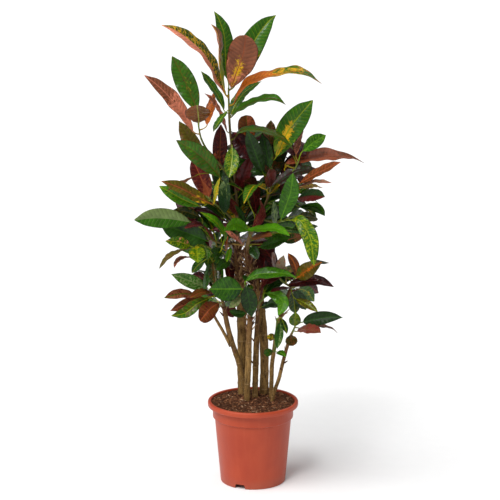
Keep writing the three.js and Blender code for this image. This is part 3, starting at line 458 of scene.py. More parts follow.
def leaf_plan(name, root, points, seen_width, seed):
    """A leaf's midrib, width, roll, twist and root, and the cross-sections of its solid."""
    midrib = midrib_of(points)
    length = midrib[1][-1]
    random = seeded_random(seed)
    width = max(seen_width, SLENDEREST * length + SLENDER_BASE)
    chord = unit(points[-1] - points[0])
    level = unit(cross(chord, unit(EYE - points[0])))
    roll = math.acos(min(seen_width / width, 1))
    if math.sin(roll) * level[2] > 0:
        roll = -roll
    across = level * math.cos(roll) + cross(level, chord) * math.sin(roll)
    twist = (random() - 0.5) * TWIST
    phase = 1 if random() < 0.5 else -1
    sections = []
    for i, (share, fullness) in enumerate(stations_for(length, name)):
        at, along = on_midrib(midrib, share)
        side = turned(unit(across - along * (across @ along)), along, twist * (share - 0.5))
        normal = cross(side, along)
        half = width / 2 * fullness
        wave = WAVE * half * phase * (1 if i % 2 else -1)
        left = at - side * half + normal * (FOLD * half + wave)
        right = at + side * half + normal * (FOLD * half - wave)
        sections.append([left, at, right, normal])
    foot = sections[0][1]
    foot_side = unit(sections[0][2] - sections[0][0])
    seat = root + np.array([random(), random(), random()]) * ROOT_SPREAD
    way = unit(foot - seat)
    bend = unit(on_midrib(midrib, 0)[1] + way)
    sections = [petiole_end(seat, foot_side, way), petiole_end(foot, foot_side, bend), *sections[1:]]
    return {
        "name": name,
        "seat": seat,
        "points": points,
        "width": width,
        "across": across,
        "twist": twist,
        "phase": phase,
        "length": length,
        "sections": np.array(sections),
    }


# ---- Keeping leaves clear of each other, as in the solids ---------------------------------------


def outline_of(edges, skin):
    corners = skin.reshape(-1, 3)
    return {"edges": edges, "skin": skin, "low": corners.min(0), "high": corners.max(0)}


def leaf_outline(sections):
    left, mid, right, normal = (sections[:, k] for k in range(4))
    pairs = [
        (left[:-1], left[1:]),
        (mid[:-1], mid[1:]),
        (right[:-1], right[1:]),
        (left[1:], mid[1:]),
        (mid[1:], right[1:]),
        (left[:-1], mid[1:]),
        (right[:-1], mid[1:]),
    ]
    edges = np.concatenate([np.stack(pair, 1) for pair in pairs])
    skin = []
    for side in (CLEARANCE, -CLEARANCE):
        lifted_left, lifted_mid, lifted_right = (line + normal * side for line in (left, mid, right))
        for edge in (lifted_left, lifted_right):
            skin.append(np.stack([edge[:-1], lifted_mid[:-1], lifted_mid[1:]], 1))
            skin.append(np.stack([edge[:-1], lifted_mid[1:], edge[1:]], 1))
    return outline_of(edges, np.concatenate(skin))


def stem_outline(points, sides):
    inner = np.array(stem_rings(points, sides))
    outer = np.array(stem_rings(points, sides, CLEARANCE))
    beside, next_outer = np.roll(inner, -1, 1), np.roll(outer, -1, 1)
    edges = [np.stack([inner[:-1], inner[1:]], 2), np.stack([inner[:-1], beside[:-1]], 2)]
    skin = [
        np.stack([outer[:-1], next_outer[:-1], next_outer[1:]], 2),
        np.stack([outer[:-1], next_outer[1:], outer[1:]], 2),
    ]
    edges = np.concatenate([part.reshape(-1, 2, 3) for part in edges])
    return outline_of(edges, np.concatenate([part.reshape(-1, 3, 3) for part in skin]))


def pierced(edges, skin):
    """Whether each edge goes through each face, as a table of edges by faces."""
    start, step = edges[:, 0], edges[:, 1] - edges[:, 0]
    corner, a, b = skin[:, 0], skin[:, 1] - skin[:, 0], skin[:, 2] - skin[:, 0]
    face_normal = np.cross(a, b)
    span = -(step @ face_normal.T)
    far = np.abs(span) < 1e-12
    span = np.where(far, 1.0, span)
    # The scalar triple products of the edge, the faces' sides and the offset between them.
    start_moment = np.cross(step, start)
    moment_a = np.cross(corner, a)
    moment_b = np.cross(corner, b)
    u = (step @ moment_b.T - start_moment @ b.T) / span
    v = (start_moment @ a.T - step @ moment_a.T) / span
    t = (start @ face_normal.T - (corner * face_normal).sum(1)) / span
    return ~far & (u >= 0) & (v >= 0) & (u + v <= 1) & (t >= 0) & (t <= 1)


def crossed(one, others):
    """Which of the other bodies one body crosses."""
    if not others:
        return []
    low = np.array([body["low"] for body in others])
    high = np.array([body["high"] for body in others])
    near = np.flatnonzero(((one["low"] <= high) & (low <= one["high"])).all(1))
    hits = [False] * len(others)
    if len(near) == 0:
        return hits
    through = pierced(one["edges"], np.concatenate([others[i]["skin"] for i in near])).any(0)
    back = pierced(np.concatenate([others[i]["edges"] for i in near]), one["skin"]).any(1)
    face, edge = 0, 0
    for i in near:
        next_face, next_edge = face + len(others[i]["skin"]), edge + len(others[i]["edges"])
        hits[i] = bool(through[face:next_face].any() or back[edge:next_edge].any())
        face, edge = next_face, next_edge
    return hits


# ---- Growing the plant --------------------------------------------------------------------------

cane_paths = {
    name: [rooted(path_points(row)) if i == 0 else path_points(row) for i, row in enumerate(rows)]
    for name, rows in CANES.items()
}
stem_paths = {name: [path_points(row) for row in rows] for name, rows in STEMS.items()}
for paths in stem_paths.values():
    (foot, foot_radius), (above, _) = paths[0][:2]
    paths[0][0] = (foot + unit(above - foot) * GAP, foot_radius)


def springs_from(paths, foot):
    """Where a leaf with its foot at a given point springs from the stems that may carry it."""
    best, best_cost = None, math.inf
    for path in paths:
        for i in range(len(path) - 1):
            for step in range(FIRST_ROOT_STEP if i == 0 else 0, ROOT_STEPS):
                at = path[i][0] + (path[i + 1][0] - path[i][0]) * (step / ROOT_STEPS)
                offset = at - foot
                height_off = abs(foot[2] - ROOT_BELOW_FOOT - at[2])
                cost = math.sqrt(offset @ offset) + ROOT_HEIGHT_WEIGHT * height_off
                if cost < best_cost:
                    best, best_cost = at, cost
    return best


stems_in_the_way = [
    (name, stem_outline(path, sides))
    for group, sides in ((cane_paths, CANE_SIDES), (stem_paths, STEM_SIDES))
    for name, paths in group.items()
    for path in paths
]
leaves = []


def crossings(stem, sections):
    """How many bodies a leaf would cross: other stems, their leaves, and blades on its own stem."""
    whole, blade = leaf_outline(sections), leaf_outline(sections[1:])
    others = [outline for name, outline in stems_in_the_way if name != stem]
    count = sum(crossed(whole, others))
    count += 2 * sum(crossed(whole, [leaf["whole"] for leaf in leaves if leaf["stem"] != stem]))
    return count + sum(crossed(blade, [leaf["blade"] for leaf in leaves if leaf["stem"] == stem]))


def keep(stem, plan):
    sections = plan["sections"]
    outlines = {"whole": leaf_outline(sections), "blade": leaf_outline(sections[1:])}
    leaves.append({"stem": stem, **plan, **outlines})


def front_leaf(row, seed, bend):
    name, carrier, wide, foot_depth, tip_depth, *spine = row
    depths = (float(foot_depth) + bend / 4, float(tip_depth) + bend)
    points = []
    for i, pair in enumerate(spine):
        across, down = map(float, pair.split(","))
        points.append(placed(across, down, between(depths, i / (len(spine) - 1))))
    offset = points[0] - EYE
    seen_width = float(wide) * math.sqrt(offset @ offset) / VIEW_SCALE
    root = springs_from(stem_paths["leaves_" + carrier], points[0])
    return leaf_plan(name, root, points, seen_width, seed)


def grow_front_leaves():
    for number, line in enumerate(FRONT_LEAVES.split("\n")[1:-1]):
        row = line.split(" ")
        stem = "leaves_" + row[1]
        best, fewest = None, math.inf
        for bend in BENDS:
            plan = front_leaf(row, SEED + number, bend)
            count = crossings(stem, plan["sections"])
            if count < fewest:
                best, fewest = plan, count
            if count == 0:
                break
        keep(stem, best)


def inside_crown(places):
    """Which places of the front view lie inside the dense crown's outline."""
    inside = np.zeros(len(places), bool)
    for i, (x, y) in enumerate(CROWN_EDGE):
        next_x, next_y = CROWN_EDGE[(i + 1) % len(CROWN_EDGE)]
        if y != next_y:
            edge = x + (next_x - x) * (places[:, 1] - y) / (next_y - y)
            inside ^= ((y > places[:, 1]) != (next_y > places[:, 1])) & (places[:, 0] < edge)
    return inside


def hides(outline, ends):
    """Which of the sight lines from the eye to the given ends a body stands in."""
    corners, places = seen(outline["skin"].reshape(-1, 3)), seen(ends)
    hidden = ((places > corners.min(0)) & (places < corners.max(0))).all(1)
    near = np.flatnonzero(hidden)
    lines = np.stack([np.broadcast_to(EYE, (len(near), 3)), ends[near]], 1)
    hidden[near] = pierced(lines, outline["skin"]).any(1) if len(near) else False
    return hidden


def open_sights():
    """The ends of the sight lines to what shows of the front leaves, of the canes and of the crown's gaps."""
    ends = [placed(across, down, BEHIND_CROWN) for across, down in CROWN_GAPS]
    canes = np.array([at for paths in cane_paths.values() for path in paths for at, _ in path])
    ends += list(canes[seen(canes)[:, 1] > CANES_SHOW_BELOW])
    owners = [-1] * len(ends)
    for number, leaf in enumerate(leaves):
        for left, mid, right, _ in leaf["sections"][1:-1]:
            ends += [edge + (mid - edge) * SIGHT_INSET for edge in (left, mid, right)]
            owners += [number] * 3
    ends, owners = np.array(ends), np.array(owners)
    for number, leaf in enumerate(leaves):
        open_still = ~(hides(leaf["whole"], ends) & (owners != number))
        ends, owners = ends[open_still], owners[open_still]
    return ends


def hidden_leaf(root, azimuth, length, petiole, rise, seed):
    """A hidden leaf grows backwards from its stem, arches up and out, and droops to its tip."""
    outward = np.array([math.cos(azimuth), math.sin(azimuth), 0])

    def reach(start, distance, slope):
        return start + outward * (distance * math.cos(slope)) + np.array([0, 0, distance * math.sin(slope)])

    foot = reach(root, petiole, rise + PETIOLE_STEEPER)
    middle = reach(foot, length * 0.5, rise)
    tip = reach(middle, length * 0.5, rise - DROOP)
    level = np.array([-outward[1], outward[0], 0])
    seen_share = abs(cross(level, unit(tip - foot)) @ unit(EYE - foot))
    seen_width = (HIDDEN_SLENDERNESS * length + HIDDEN_BASE_WIDTH) * seen_share
    return leaf_plan("hidden", root, [foot, middle, tip], seen_width, seed)


def grow_hidden_leaves():
    random = seeded_random(SEED * 3)
    sights = open_sights()
    for stem, branch, count, start, end in HIDDEN_LEAVES:
        path = stem_paths[stem][branch]
        for n in range(count):
            along = between((start, end), (n + 0.5) / count) * (len(path) - 1)
            i = min(int(along), len(path) - 2)
            root = path[i][0] + (path[i + 1][0] - path[i][0]) * (along - i)
            swept_arc = HIDDEN_ARC[1] - HIDDEN_ARC[0]
            turn = HIDDEN_ARC[0] + (n * GOLDEN_ANGLE + BRANCH_TURN * branch) % swept_arc
            length = between(HIDDEN_LENGTH, random())
            petiole = between(HIDDEN_PETIOLE, random())
            rise = between(SPREADING_RISE if n % 2 else UPRIGHT_RISE, random())
            for swing in SWINGS:
                azimuth = math.radians(turn + swing)
                plan = hidden_leaf(root, azimuth, length, petiole, rise, SEED * 5 + len(leaves))
                inside = inside_crown(seen(plan["sections"][:, :3].reshape(-1, 3))).all()
                if inside and not hides(leaf_outline(plan["sections"]), sights).any():
                    if crossings(stem, plan["sections"]) == 0:
                        keep(stem, plan)
                        break


grow_front_leaves()
grow_hidden_leaves()

# ---- Inner leaves -------------------------------------------------------------------------------

# The crown is too dense to look through, but its solids have leaves only as far as their share of the
# triangles goes. Smaller leaves, deep in the crown, close the places that it could be looked through.
INNER_TRIES = 3600
INNER_SEED = 977
INNER_DEPTH = (-30, 170)
INNER_REACH = (30, 170)
INNER_FOOT_SHARE = (0.25, 0.55)
INNER_DROOP = (0.1, 0.6)
INNER_SEEN = (0.65, 1.0)
SIGHT_GRID = 2.0
GAP_REACH = 3.2
FEWEST_COVERED = 3
BOX_MARGIN = 2.0


def see_through_sights():
    """The ends of the sight lines that pass through the crown between its leaves, gaps apart."""
    edge = np.array(CROWN_EDGE, float)
    low, high = edge.min(0), edge.max(0)
    across, down = np.meshgrid(np.arange(low[0], high[0], SIGHT_GRID), np.arange(low[1], high[1], SIGHT_GRID))
    places = np.stack([across.ravel(), down.ravel()], 1)
    gaps = np.array(CROWN_GAPS, float)
    clear = (np.linalg.norm(places[:, None] - gaps, axis=2) > GAP_REACH).all(1)
    places = places[inside_crown(places) & clear]
    ends = np.array([placed(x, y, BEHIND_CROWN) for x, y in places])
    for _, outline in stems_in_the_way:
        ends = ends[~hides(outline, ends)]
    for leaf in leaves:
        ends = ends[~hides(leaf["whole"], ends)]
    return ends


def inner_leaf(middle, random):
    """A leaf whose middle is at a given point, on the leafy stem nearest to it."""
    foot_share, droop = between(INNER_FOOT_SHARE, random()), between(INNER_DROOP, random())
    seen_share, seed = between(INNER_SEEN, random()), int(random() * 1e6) + 1
    roots = [(stem, springs_from(paths, middle)) for stem, paths in stem_paths.items()]
    stem, root = min(roots, key=lambda pair: (pair[1] - middle) @ (pair[1] - middle))
    arm = middle - root
    reach = math.sqrt(arm @ arm)
    if not INNER_REACH[0] < reach < INNER_REACH[1]:
        return stem, None
    foot = root + arm * foot_share
    onward = middle - foot
    tip = middle + onward - np.array([0, 0, 1.0]) * droop * math.sqrt(onward @ onward)
    length = 2 * math.sqrt(onward @ onward)
    width = (HIDDEN_SLENDERNESS * length + HIDDEN_BASE_WIDTH) * seen_share
    return stem, leaf_plan("hidden", root, [foot, middle, tip], width, seed)


def grow_inner_leaves():
    random = seeded_random(INNER_SEED)
    sights, through = open_sights(), see_through_sights()
    box_low, box_high = np.array(cad_low) / METRE + BOX_MARGIN, np.array(cad_high) / METRE - BOX_MARGIN
    for _ in range(INNER_TRIES):
        across, down = seen(through[int(random() * len(through))][None])[0]
        stem, plan = inner_leaf(placed(across, down, between(INNER_DEPTH, random())), random)
        if plan is None:
            continue
        corners = plan["sections"][:, :3].reshape(-1, 3)
        boxed = (corners >= box_low).all() and (corners <= box_high).all()
        if not (boxed and inside_crown(seen(corners)).all()):
            continue
        outline = leaf_outline(plan["sections"])
        covered = hides(outline, through)
        if covered.sum() < FEWEST_COVERED or hides(outline, sights).any():
            continue
        if crossings(stem, plan["sections"]) == 0:
            keep(stem, plan)
            through = through[~covered]


grow_inner_leaves()

# ---- Colours ------------------------------------------------------------------------------------

PALETTE = {
    "bright": (70, 128, 8),
    "grass": (94, 146, 22),
    "green": (48, 96, 8),
    "mid": (36, 74, 8),
    "dark": (22, 46, 8),
    "teal": (28, 56, 26),
    # sage: a dull green of the leaves' own, and on N1, N8 and P1 also a painted sheen
    "sage": (112, 132, 74),
    "yellow": (212, 164, 20),
    "lime": (136, 150, 18),
    "orange": (192, 98, 24),
    "salmon": (210, 124, 88),
    "copper": (150, 74, 40),
    "maroon": (84, 20, 18),
    "wine": (50, 10, 12),
    "crimson": (122, 36, 36),
    "mauve": (128, 74, 48),
    "olive": (84, 76, 8),
    "brown": (102, 54, 20),
    "pink": (222, 134, 104),
    # grey: a colour of the leaves' own, and on Q6 and N8 also a painted sheen
    "grey": (140, 122, 96),
    "clay": (176, 88, 50),
    "pale": (166, 176, 76),
    # Undersides, shoots, bark, dry stubs, soil and pot.
    "underside": (120, 98, 60),
    "young_dark": (74, 92, 34),
    "young_light": (120, 130, 56),
    "old_dark": (66, 50, 32),
    "old_light": (142, 116, 74),
    "shoot_fleck": (170, 150, 110),
    "bark_dark": (104, 76, 40),
    "bark_light": (152, 118, 68),
    "bark_crack": (38, 25, 14),
    "bark_cork": (192, 160, 100),
    "bark_scar": (168, 138, 98),
    "bark_top": (96, 58, 42),
    "stub_dark": (88, 50, 38),
    "stub_mid": (128, 84, 62),
    "stub_pale": (186, 146, 100),
    "stub_crack": (44, 26, 18),
    "stub_end": (196, 164, 120),
    "peat_dark": (48, 26, 14),
    "peat_light": (104, 62, 36),
    "chip_dark": (96, 54, 32),
    "chip_light": (164, 110, 74),
    "chip_pale": (186, 150, 118),
    # soil_hollow_shade: painted shade, laid into the soil's hollows
    "soil_hollow_shade": (30, 18, 14),
    "pot_deep": (164, 58, 30),
    "pot_plain": (176, 68, 37),
    "pot_flow": (186, 82, 50),
    "pot_scuff": (200, 116, 84),
    "pot_dust": (150, 104, 84),
}

# How each front leaf is coloured: its name, the ground colour, a second colour with the place it takes and
# how much of it, a third one likewise, and the midrib's colour.
# On N1, N8 and P1 the sage patches are a painted sheen; on the other leaves sage is their own colour.
# On Q6 the grey ground and on N8 the grey flecks are a painted sheen; on the other leaves grey is their own
# colour.
LOOKS = """
T1 mid yellow right 0.42 pink left 1.3 pink
T2 green mid tip 0.4 yellow base 0.3 lime
T3 mauve pink left 0.9 lime base 0.9 yellow
T4 mauve yellow ribbase 0.85 salmon base 0.45 copper
T5 green dark edge 0.3 yellow base 0.35 lime
T6 orange yellow tipmid 0.75 green tip 0.62 orange
T7 green maroon edge 0.35 green all 0 maroon
T8 green bright all 0.35 mid edge 0.3 lime
T9 green mid all 0.4 green edge 0 lime
T10 mauve pink all 0.5 green edge 0.1 mauve
T11 lime green all 0.56 bright rib 0.4 pale
T12 green olive all 0.45 green edge 0 olive
T13 green bright all 0.4 yellow base 0.4 lime
L1 pink mauve tip 0.8 mauve edge 0.3 pink
L2 green maroon all 0.28 yellow base 0.24 olive
L3 mauve brown right 0.7 pink edge 0.2 pale
L4 orange brown all 0.45 yellow base 0.2 orange
M1 olive brown all 0.38 dark edge 0.3 olive
M2 green olive all 0.4 bright ribtip 0.5 olive
M3 maroon wine edge 0.35 copper base 0.55 copper
M4 wine maroon all 0.42 copper base 0.5 brown
M5 brown olive all 0.4 brown edge 0 brown
M6 olive brown rib 0.5 yellow base 0.35 copper
M7 bright green all 0.4 lime all 0.22 lime
M8 lime yellow all 0.4 green edge 0.5 yellow
M9 dark mid all 0.4 maroon edge 0.3 mid
M10 wine maroon all 0.38 crimson left 0.3 wine
M11 maroon wine edge 0.5 crimson base 0.4 maroon
M12 teal dark all 0.4 sage tip 0.4 teal
R1 brown clay right 0.6 orange base 0.6 olive
R2 olive mauve all 0.5 pink tip 0.25 olive
R3 green yellow ribbase 0.98 lime base 0.4 lime
R4 mauve pink all 0.5 brown edge 0.2 mauve
R5 green grass all 0.4 sage edge 0.4 grass
R6 dark mid rib 0.35 mid edge 0.2 mid
R7 dark mid all 0.35 olive base 0.2 mid
R8 maroon wine all 0.4 wine edge 0.4 maroon
R9 dark wine all 0.5 wine rib 0.4 dark
R10 copper clay base 0.42 brown tip 0.55 copper
R11 brown copper all 0.42 maroon edge 0.3 clay
R12 grey pink all 0.45 mauve edge 0.3 pink
R13 yellow olive all 0.45 orange edge 0.3 yellow
R14 maroon teal left 0.8 wine edge 0.3 maroon
R15 green mid all 0.42 sage edge 0.3 mid
R16 olive dark all 0.5 wine edge 0.3 olive
R17 mid sage all 0.4 olive base 0.3 mid
R18 green bright all 0.4 mid edge 0.35 grass
R19 teal sage all 0.45 green edge 0.3 sage
R20 olive lime all 0.4 green edge 0.3 yellow
R21 lime yellow all 0.4 green edge 0.4 yellow
F1 bright grass all 0.35 green edge 0.3 grass
F2 bright grass all 0.4 green base 0.3 grass
F3 maroon brown all 0.4 wine edge 0.3 maroon
F4 brown orange all 0.4 olive edge 0.3 orange
F5 bright green all 0.35 lime all 0.2 lime
F6 pink crimson all 0.45 maroon edge 0.3 pink
F7 brown mauve all 0.4 maroon edge 0.3 mauve
F8 mid green all 0.4 dark edge 0.3 green
F9 dark mauve tip 0.6 mid all 0.3 mauve
F10 maroon mauve all 0.36 wine edge 0.4 maroon
F11 dark mid all 0.4 teal all 0.2 mid
Q1 green lime all 0.42 yellow base 0.2 lime
Q2 olive orange rib 0.5 green base 0.4 orange
Q3 brown copper all 0.4 olive edge 0.3 orange
Q4 wine maroon all 0.4 brown rib 0.3 maroon
Q5 green bright tip 0.6 sage base 0.35 grass
Q6 grey mauve all 0.4 pink tip 0.3 grey
Q7 brown mauve all 0.4 maroon edge 0.3 mauve
Q8 dark olive all 0.4 wine edge 0.3 olive
Q9 dark wine all 0.45 olive edge 0.2 dark
Q10 maroon crimson all 0.4 wine edge 0.3 maroon
Q11 dark mid all 0.4 teal all 0.3 mid
Q14 olive lime all 0.36 orange edge 0.4 lime
Q15 bright grass all 0.35 sage edge 0.3 grass
Q16 green lime all 0.4 olive edge 0.3 lime
Q17 dark mid rib 0.35 teal all 0.25 mid
Q18 crimson mauve all 0.5 maroon edge 0.3 mauve
Q19 mauve brown all 0.45 grey tip 0.3 mauve
Q20 dark brown all 0.45 olive base 0.4 brown
P1 green sage right 0.9 mid edge 0.3 sage
P2 dark olive all 0.4 brown edge 0.4 olive
P3 mid dark edge 0.5 teal right 0.5 green
P4 green bright all 0.4 lime all 0.25 lime
P5 green lime all 0.4 pink right 0.35 lime
P6 olive brown all 0.4 grey edge 0.4 olive
P7 mauve pink all 0.45 maroon edge 0.3 mauve
P8 green lime all 0.48 yellow base 0.3 lime
P9 green sage all 0.42 mid edge 0.3 sage
P10 bright green all 0.4 lime rib 0.3 lime
P11 dark mid all 0.4 teal all 0.2 mid
P12 mid green all 0.4 brown edge 0.4 mid
P13 dark olive all 0.45 brown rib 0.5 olive
P14 mid dark all 0.4 teal all 0.2 green
N1 green sage all 0.42 sage rightbase 0.5 sage
N2 mauve maroon all 0.42 pink edge 0.3 green
N3 brown olive all 0.4 maroon edge 0.4 copper
N4 brown maroon all 0.42 mauve rib 0.3 copper
N5 green olive all 0.5 mid edge 0.3 lime
N6 brown maroon all 0.42 mauve rib 0.4 clay
N7 mid green all 0.45 teal leftbase 0.6 grass
N8 sage grey all 0.4 teal edge 0.3 sage
N9 mid dark all 0.4 maroon edge 0.2 green
N10 dark mid all 0.45 teal rib 0.3 mid
S1 mid olive all 0.42 dark edge 0.3 mid
S2 green bright all 0.35 mid edge 0.3 grass
S3 olive yellow all 0.38 green edge 0.3 lime
S4 mid sage left 0.5 dark all 0.25 mid
S5 dark green all 0.45 olive edge 0.3 lime
"""

# Looks of the leaves behind, drawn at random.
HIDDEN_LOOKS = """
dark mid all 0.45 teal all 0.2 mid
mid dark all 0.45 green rib 0.3 green
green mid all 0.4 yellow rib 0.35 lime
maroon wine edge 0.5 crimson base 0.3 maroon
wine maroon all 0.4 brown rib 0.3 crimson
green yellow base 0.5 lime rib 0.4 yellow
dark brown all 0.42 olive edge 0.3 brown
mid olive all 0.4 crimson edge 0.4 lime
green mid all 0.45 bright rib 0.3 grass
"""


def linear(name):
    """A named display colour as the light values that shaders take."""
    share = np.array(PALETTE[name]) / 255
    return np.where(share <= 0.04045, share / 12.92, ((share + 0.055) / 1.055) ** 2.4)


def smooth(value, low, high):
    t = np.clip((value - low) / (high - low), 0, 1)
    return t * t * (3 - 2 * t)


front_looks = dict(line.split(" ", 1) for line in LOOKS.split("\n")[1:-1])
hidden_looks = HIDDEN_LOOKS.split("\n")[1:-1]


def leaf_look(leaf, random):
    if leaf["name"] in front_looks:
        return front_looks[leaf["name"]]
    return hidden_looks[int(random() * len(hidden_looks)) % len(hidden_looks)]


# ---- Meshes -------------------------------------------------------------------------------------

# Each surface is points, faces, and the values that its material reads at the points. In "blade" are:
#   leaf: the way along it, the way across it, and the number of side veins passed
#   shoot: the way along it, the angle round it, and its age; bark: scar and share of the cane's height
#   stub: tone, share of its length, and a number of its own; soil and chips: tone and lightness
# In "leaf" are a number of the leaf's own, 1 on its underside, and the share of its half width.


class Sheaf:
    """Gathers closed surfaces with values at their points, and makes one object of them."""

    def __init__(self):
        self.points, self.faces, self.values, self.count = [], [], [], 0

    def add(self, points, faces, values):
        self.points.append(points)
        self.faces += [[self.count + corner for corner in face] for face in faces]
        self.values.append(values)
        self.count += len(points)

    def made(self, name, material, slot, node, sharp_degrees=None):
        mesh = bpy.data.meshes.new(name)
        points = np.concatenate(self.points) * METRE
        mesh.from_pydata(points.tolist(), [], self.faces)
        for key in ("blade", "leaf"):
            self.put(mesh, key, "FLOAT_VECTOR", "vector")
        for key in ("ground", "second", "third", "rib"):
            self.put(mesh, key, "FLOAT_COLOR", "color")
        mesh.shade_smooth()
        if sharp_degrees:
            mesh.set_sharp_from_angle(angle=math.radians(sharp_degrees))
        piece = bpy.data.objects.new(name, mesh)
        bpy.context.scene.collection.objects.link(piece)
        mesh.materials.append(material)
        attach(piece, "root")
        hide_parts(node)
        return piece

    def put(self, mesh, key, kind, field):
        if any(key in values for values in self.values):
            whole = np.concatenate([values[key] for values in self.values])
            attribute = mesh.attributes.new(key, kind, "POINT")
            attribute.data.foreach_set(field, whole.astype(np.float32).ravel())


def triples(count, *parts):
    """Three values for each of the points, each given for every point or as one number for all."""
    return np.stack([np.broadcast_to(part, count) for part in parts], 1)


def unit_rows(vectors):
    return vectors / np.linalg.norm(vectors, axis=1)[:, None]


def swept(centres, first, second, radii, around):
    """Ring points of a tube: a ring round each centre, in the plane of its two directions."""
    angles = round_angles(around)
    ring = first[:, None] * np.cos(angles)[:, None] + second[:, None] * np.sin(angles)[:, None]
    return (centres[:, None] + ring * radii[..., None]).reshape(-1, 3)


def tube_faces(rings, sides):
    """Faces of a closed tube: its walls and a flat end at either side."""
    faces = []
    for ring in range(rings - 1):
        for side in range(sides):
            a, b = ring * sides + side, ring * sides + (side + 1) % sides
            faces.append([a, b, b + sides, a + sides])
    last = (rings - 1) * sides
    return faces + [list(range(sides))[::-1], list(range(last, last + sides))]


def without_repeats(corners):
    kept = []
    for corner in corners:
        if not kept or corner != kept[-1]:
            kept.append(corner)
    if kept[0] == kept[-1]:
        kept.pop()
    return kept


# ---- Leaves -------------------------------------------------------------------------------------

COLUMNS = np.array([0.07, 0.2, 0.38, 0.58, 0.78, 0.92, 1.0])
ACROSS = np.concatenate([-COLUMNS[::-1], [0], COLUMNS])
FINE_STEPS = 96
ROW_STEP = 2.8
FEWEST_ROWS = 14
BLADE_THICKNESS = 0.6
BASE_POWERS = (0.62, 0.85)
TIP_POWERS = (0.72, 0.95)
BLUNT_POWERS = (0.85, 0.45)
POINTED_FROM = 0.82
POINTED_BY = 0.3

# Relief of a blade: its fold, its long wave, the ruffled edge, and the quilting between its side veins.
FOLD_SLOPE = 1.25
FOLD_CURL = 0.25
WAVE_START = 0.22
WAVE_LENGTH = 0.56
RUFFLE = 0.055
RUFFLE_CYCLES = (3.5, 6.5)
RUFFLE_POWER = 2.2
VEIN_ANGLE_DEGREES = 58
VEIN_STEP = 9.5
QUILTING = 0.8
QUILTED_FROM = (0.04, 0.25)
FULL_QUILTING_HALF = 14

# The leaf stalk and the midrib that it runs on into.
PETIOLE_RINGS = 9
MIDRIB_RINGS = 16
MIDRIB_ENDS = 0.95
TUBE_SIDES = 6
STALK_RADIUS = 1.35
STALK_FOOT_FLARE = 0.9
STALK_END_FLARE = 0.2
STALK_BEND = 0.45
STALK_TINTS = (0.55, 0.45)
RIB_TIP_RADIUS = 0.3
RIB_TAPER = 1.15
RIB_SUNK = 0.45
SEEDS = 40


def rows_along(plan, shares):
    """Midrib points at shares of its length, with the directions along, across and out of the blade."""
    trail, lengths = midrib_of(plan["points"], FINE_STEPS)
    wanted = shares * lengths[-1]
    at = np.stack([np.interp(wanted, lengths, trail[:, k]) for k in range(3)], 1)
    slopes = np.gradient(trail, axis=0)
    along = unit_rows(np.stack([np.interp(wanted, lengths, slopes[:, k]) for k in range(3)], 1))
    side = unit_rows(plan["across"] - along * (along @ plan["across"])[:, None])
    angle = (plan["twist"] * (shares - 0.5))[:, None]
    side = side * np.cos(angle) + np.cross(along, side) * np.sin(angle)
    return at, along, side, np.cross(side, along)


def place_of(word, share, across):
    """How strongly a colour takes each place of the blade: `word` may join the names of several."""
    places = {
        "base": smooth(1 - share, 0.15, 0.85),
        "tip": smooth(share, 0.15, 0.75),
        "mid": 1 - np.abs(2 * share - 1) ** 3,
        "rib": 1 - smooth(np.abs(across), 0.1, 0.75),
        "edge": smooth(np.abs(across), 0.55, 1.0),
        "left": smooth(-across, -0.06, 0.06),
        "right": smooth(across, -0.06, 0.06),
    }
    taken = np.ones_like(across)
    for name, strength in places.items():
        if name in word:
            taken = taken * strength
    return taken


def blade_halves(plan, shares, random):
    """Half the blade's width at each share of its length."""
    base_power, tip_power = between(BASE_POWERS, random()), between(TIP_POWERS, random())
    blunt = plan["name"] in BLUNT_LEAVES
    if blunt:
        base_power, tip_power = BLUNT_POWERS
    peak = base_power / (base_power + tip_power)
    fullness = shares**base_power * (1 - shares) ** tip_power
    fullness /= peak**base_power * (1 - peak) ** tip_power
    if not blunt:
        fullness *= 1 - POINTED_BY * smooth(shares, POINTED_FROM, 1)
    return plan["width"] / 2 * fullness


def blade_lift(phase, half, share, across, veins, random):
    """How far the blade stands out of its midrib's plane: folded, waved, ruffled and quilted."""
    aside, half = np.abs(across), half[:, None]
    lift = FOLD * (FOLD_SLOPE * aside - FOLD_CURL * aside**2) * half
    lift -= WAVE * phase * across * np.cos(2 * np.pi * (share - WAVE_START) / WAVE_LENGTH) * half
    for direction in (-1, 1):
        cycles, start = between(RUFFLE_CYCLES, random()), 2 * np.pi * random()
        ruffle = RUFFLE * aside**RUFFLE_POWER * np.sin(2 * np.pi * cycles * share + start)
        lift += ruffle * (direction * across > 0) * half
    quilt = np.abs(np.sin(np.pi * veins)) * smooth(aside, *QUILTED_FROM) * (1 - aside**3)
    return lift + QUILTING * quilt * np.minimum(half / FULL_QUILTING_HALF, 1)


def blade_faces(rows):
    """Faces of a closed blade, whose two skins share their edges and ends, and the points that they use."""
    columns = len(ACROSS)
    upper = np.arange((rows + 1) * columns).reshape(rows + 1, columns)
    lower = upper + upper.size
    lower[:, 0], lower[:, -1] = upper[:, 0], upper[:, -1]
    for row in (0, rows):
        upper[row], lower[row] = upper[row, 0], upper[row, 0]
    used = np.union1d(upper, lower)
    number = np.full(2 * upper.size, -1)
    number[used] = np.arange(len(used))
    upper, lower = number[upper].tolist(), number[lower].tolist()
    faces = []
    for i in range(rows):
        (top, next_top), (bottom, next_bottom) = upper[i : i + 2], lower[i : i + 2]
        for j in range(columns - 1):
            faces.append(without_repeats([top[j], top[j + 1], next_top[j + 1], next_top[j]]))
            faces.append(without_repeats([bottom[j], next_bottom[j], next_bottom[j + 1], bottom[j + 1]]))
    return faces, used


def on_both_skins(grid):
    return np.tile(grid.ravel(), 2)


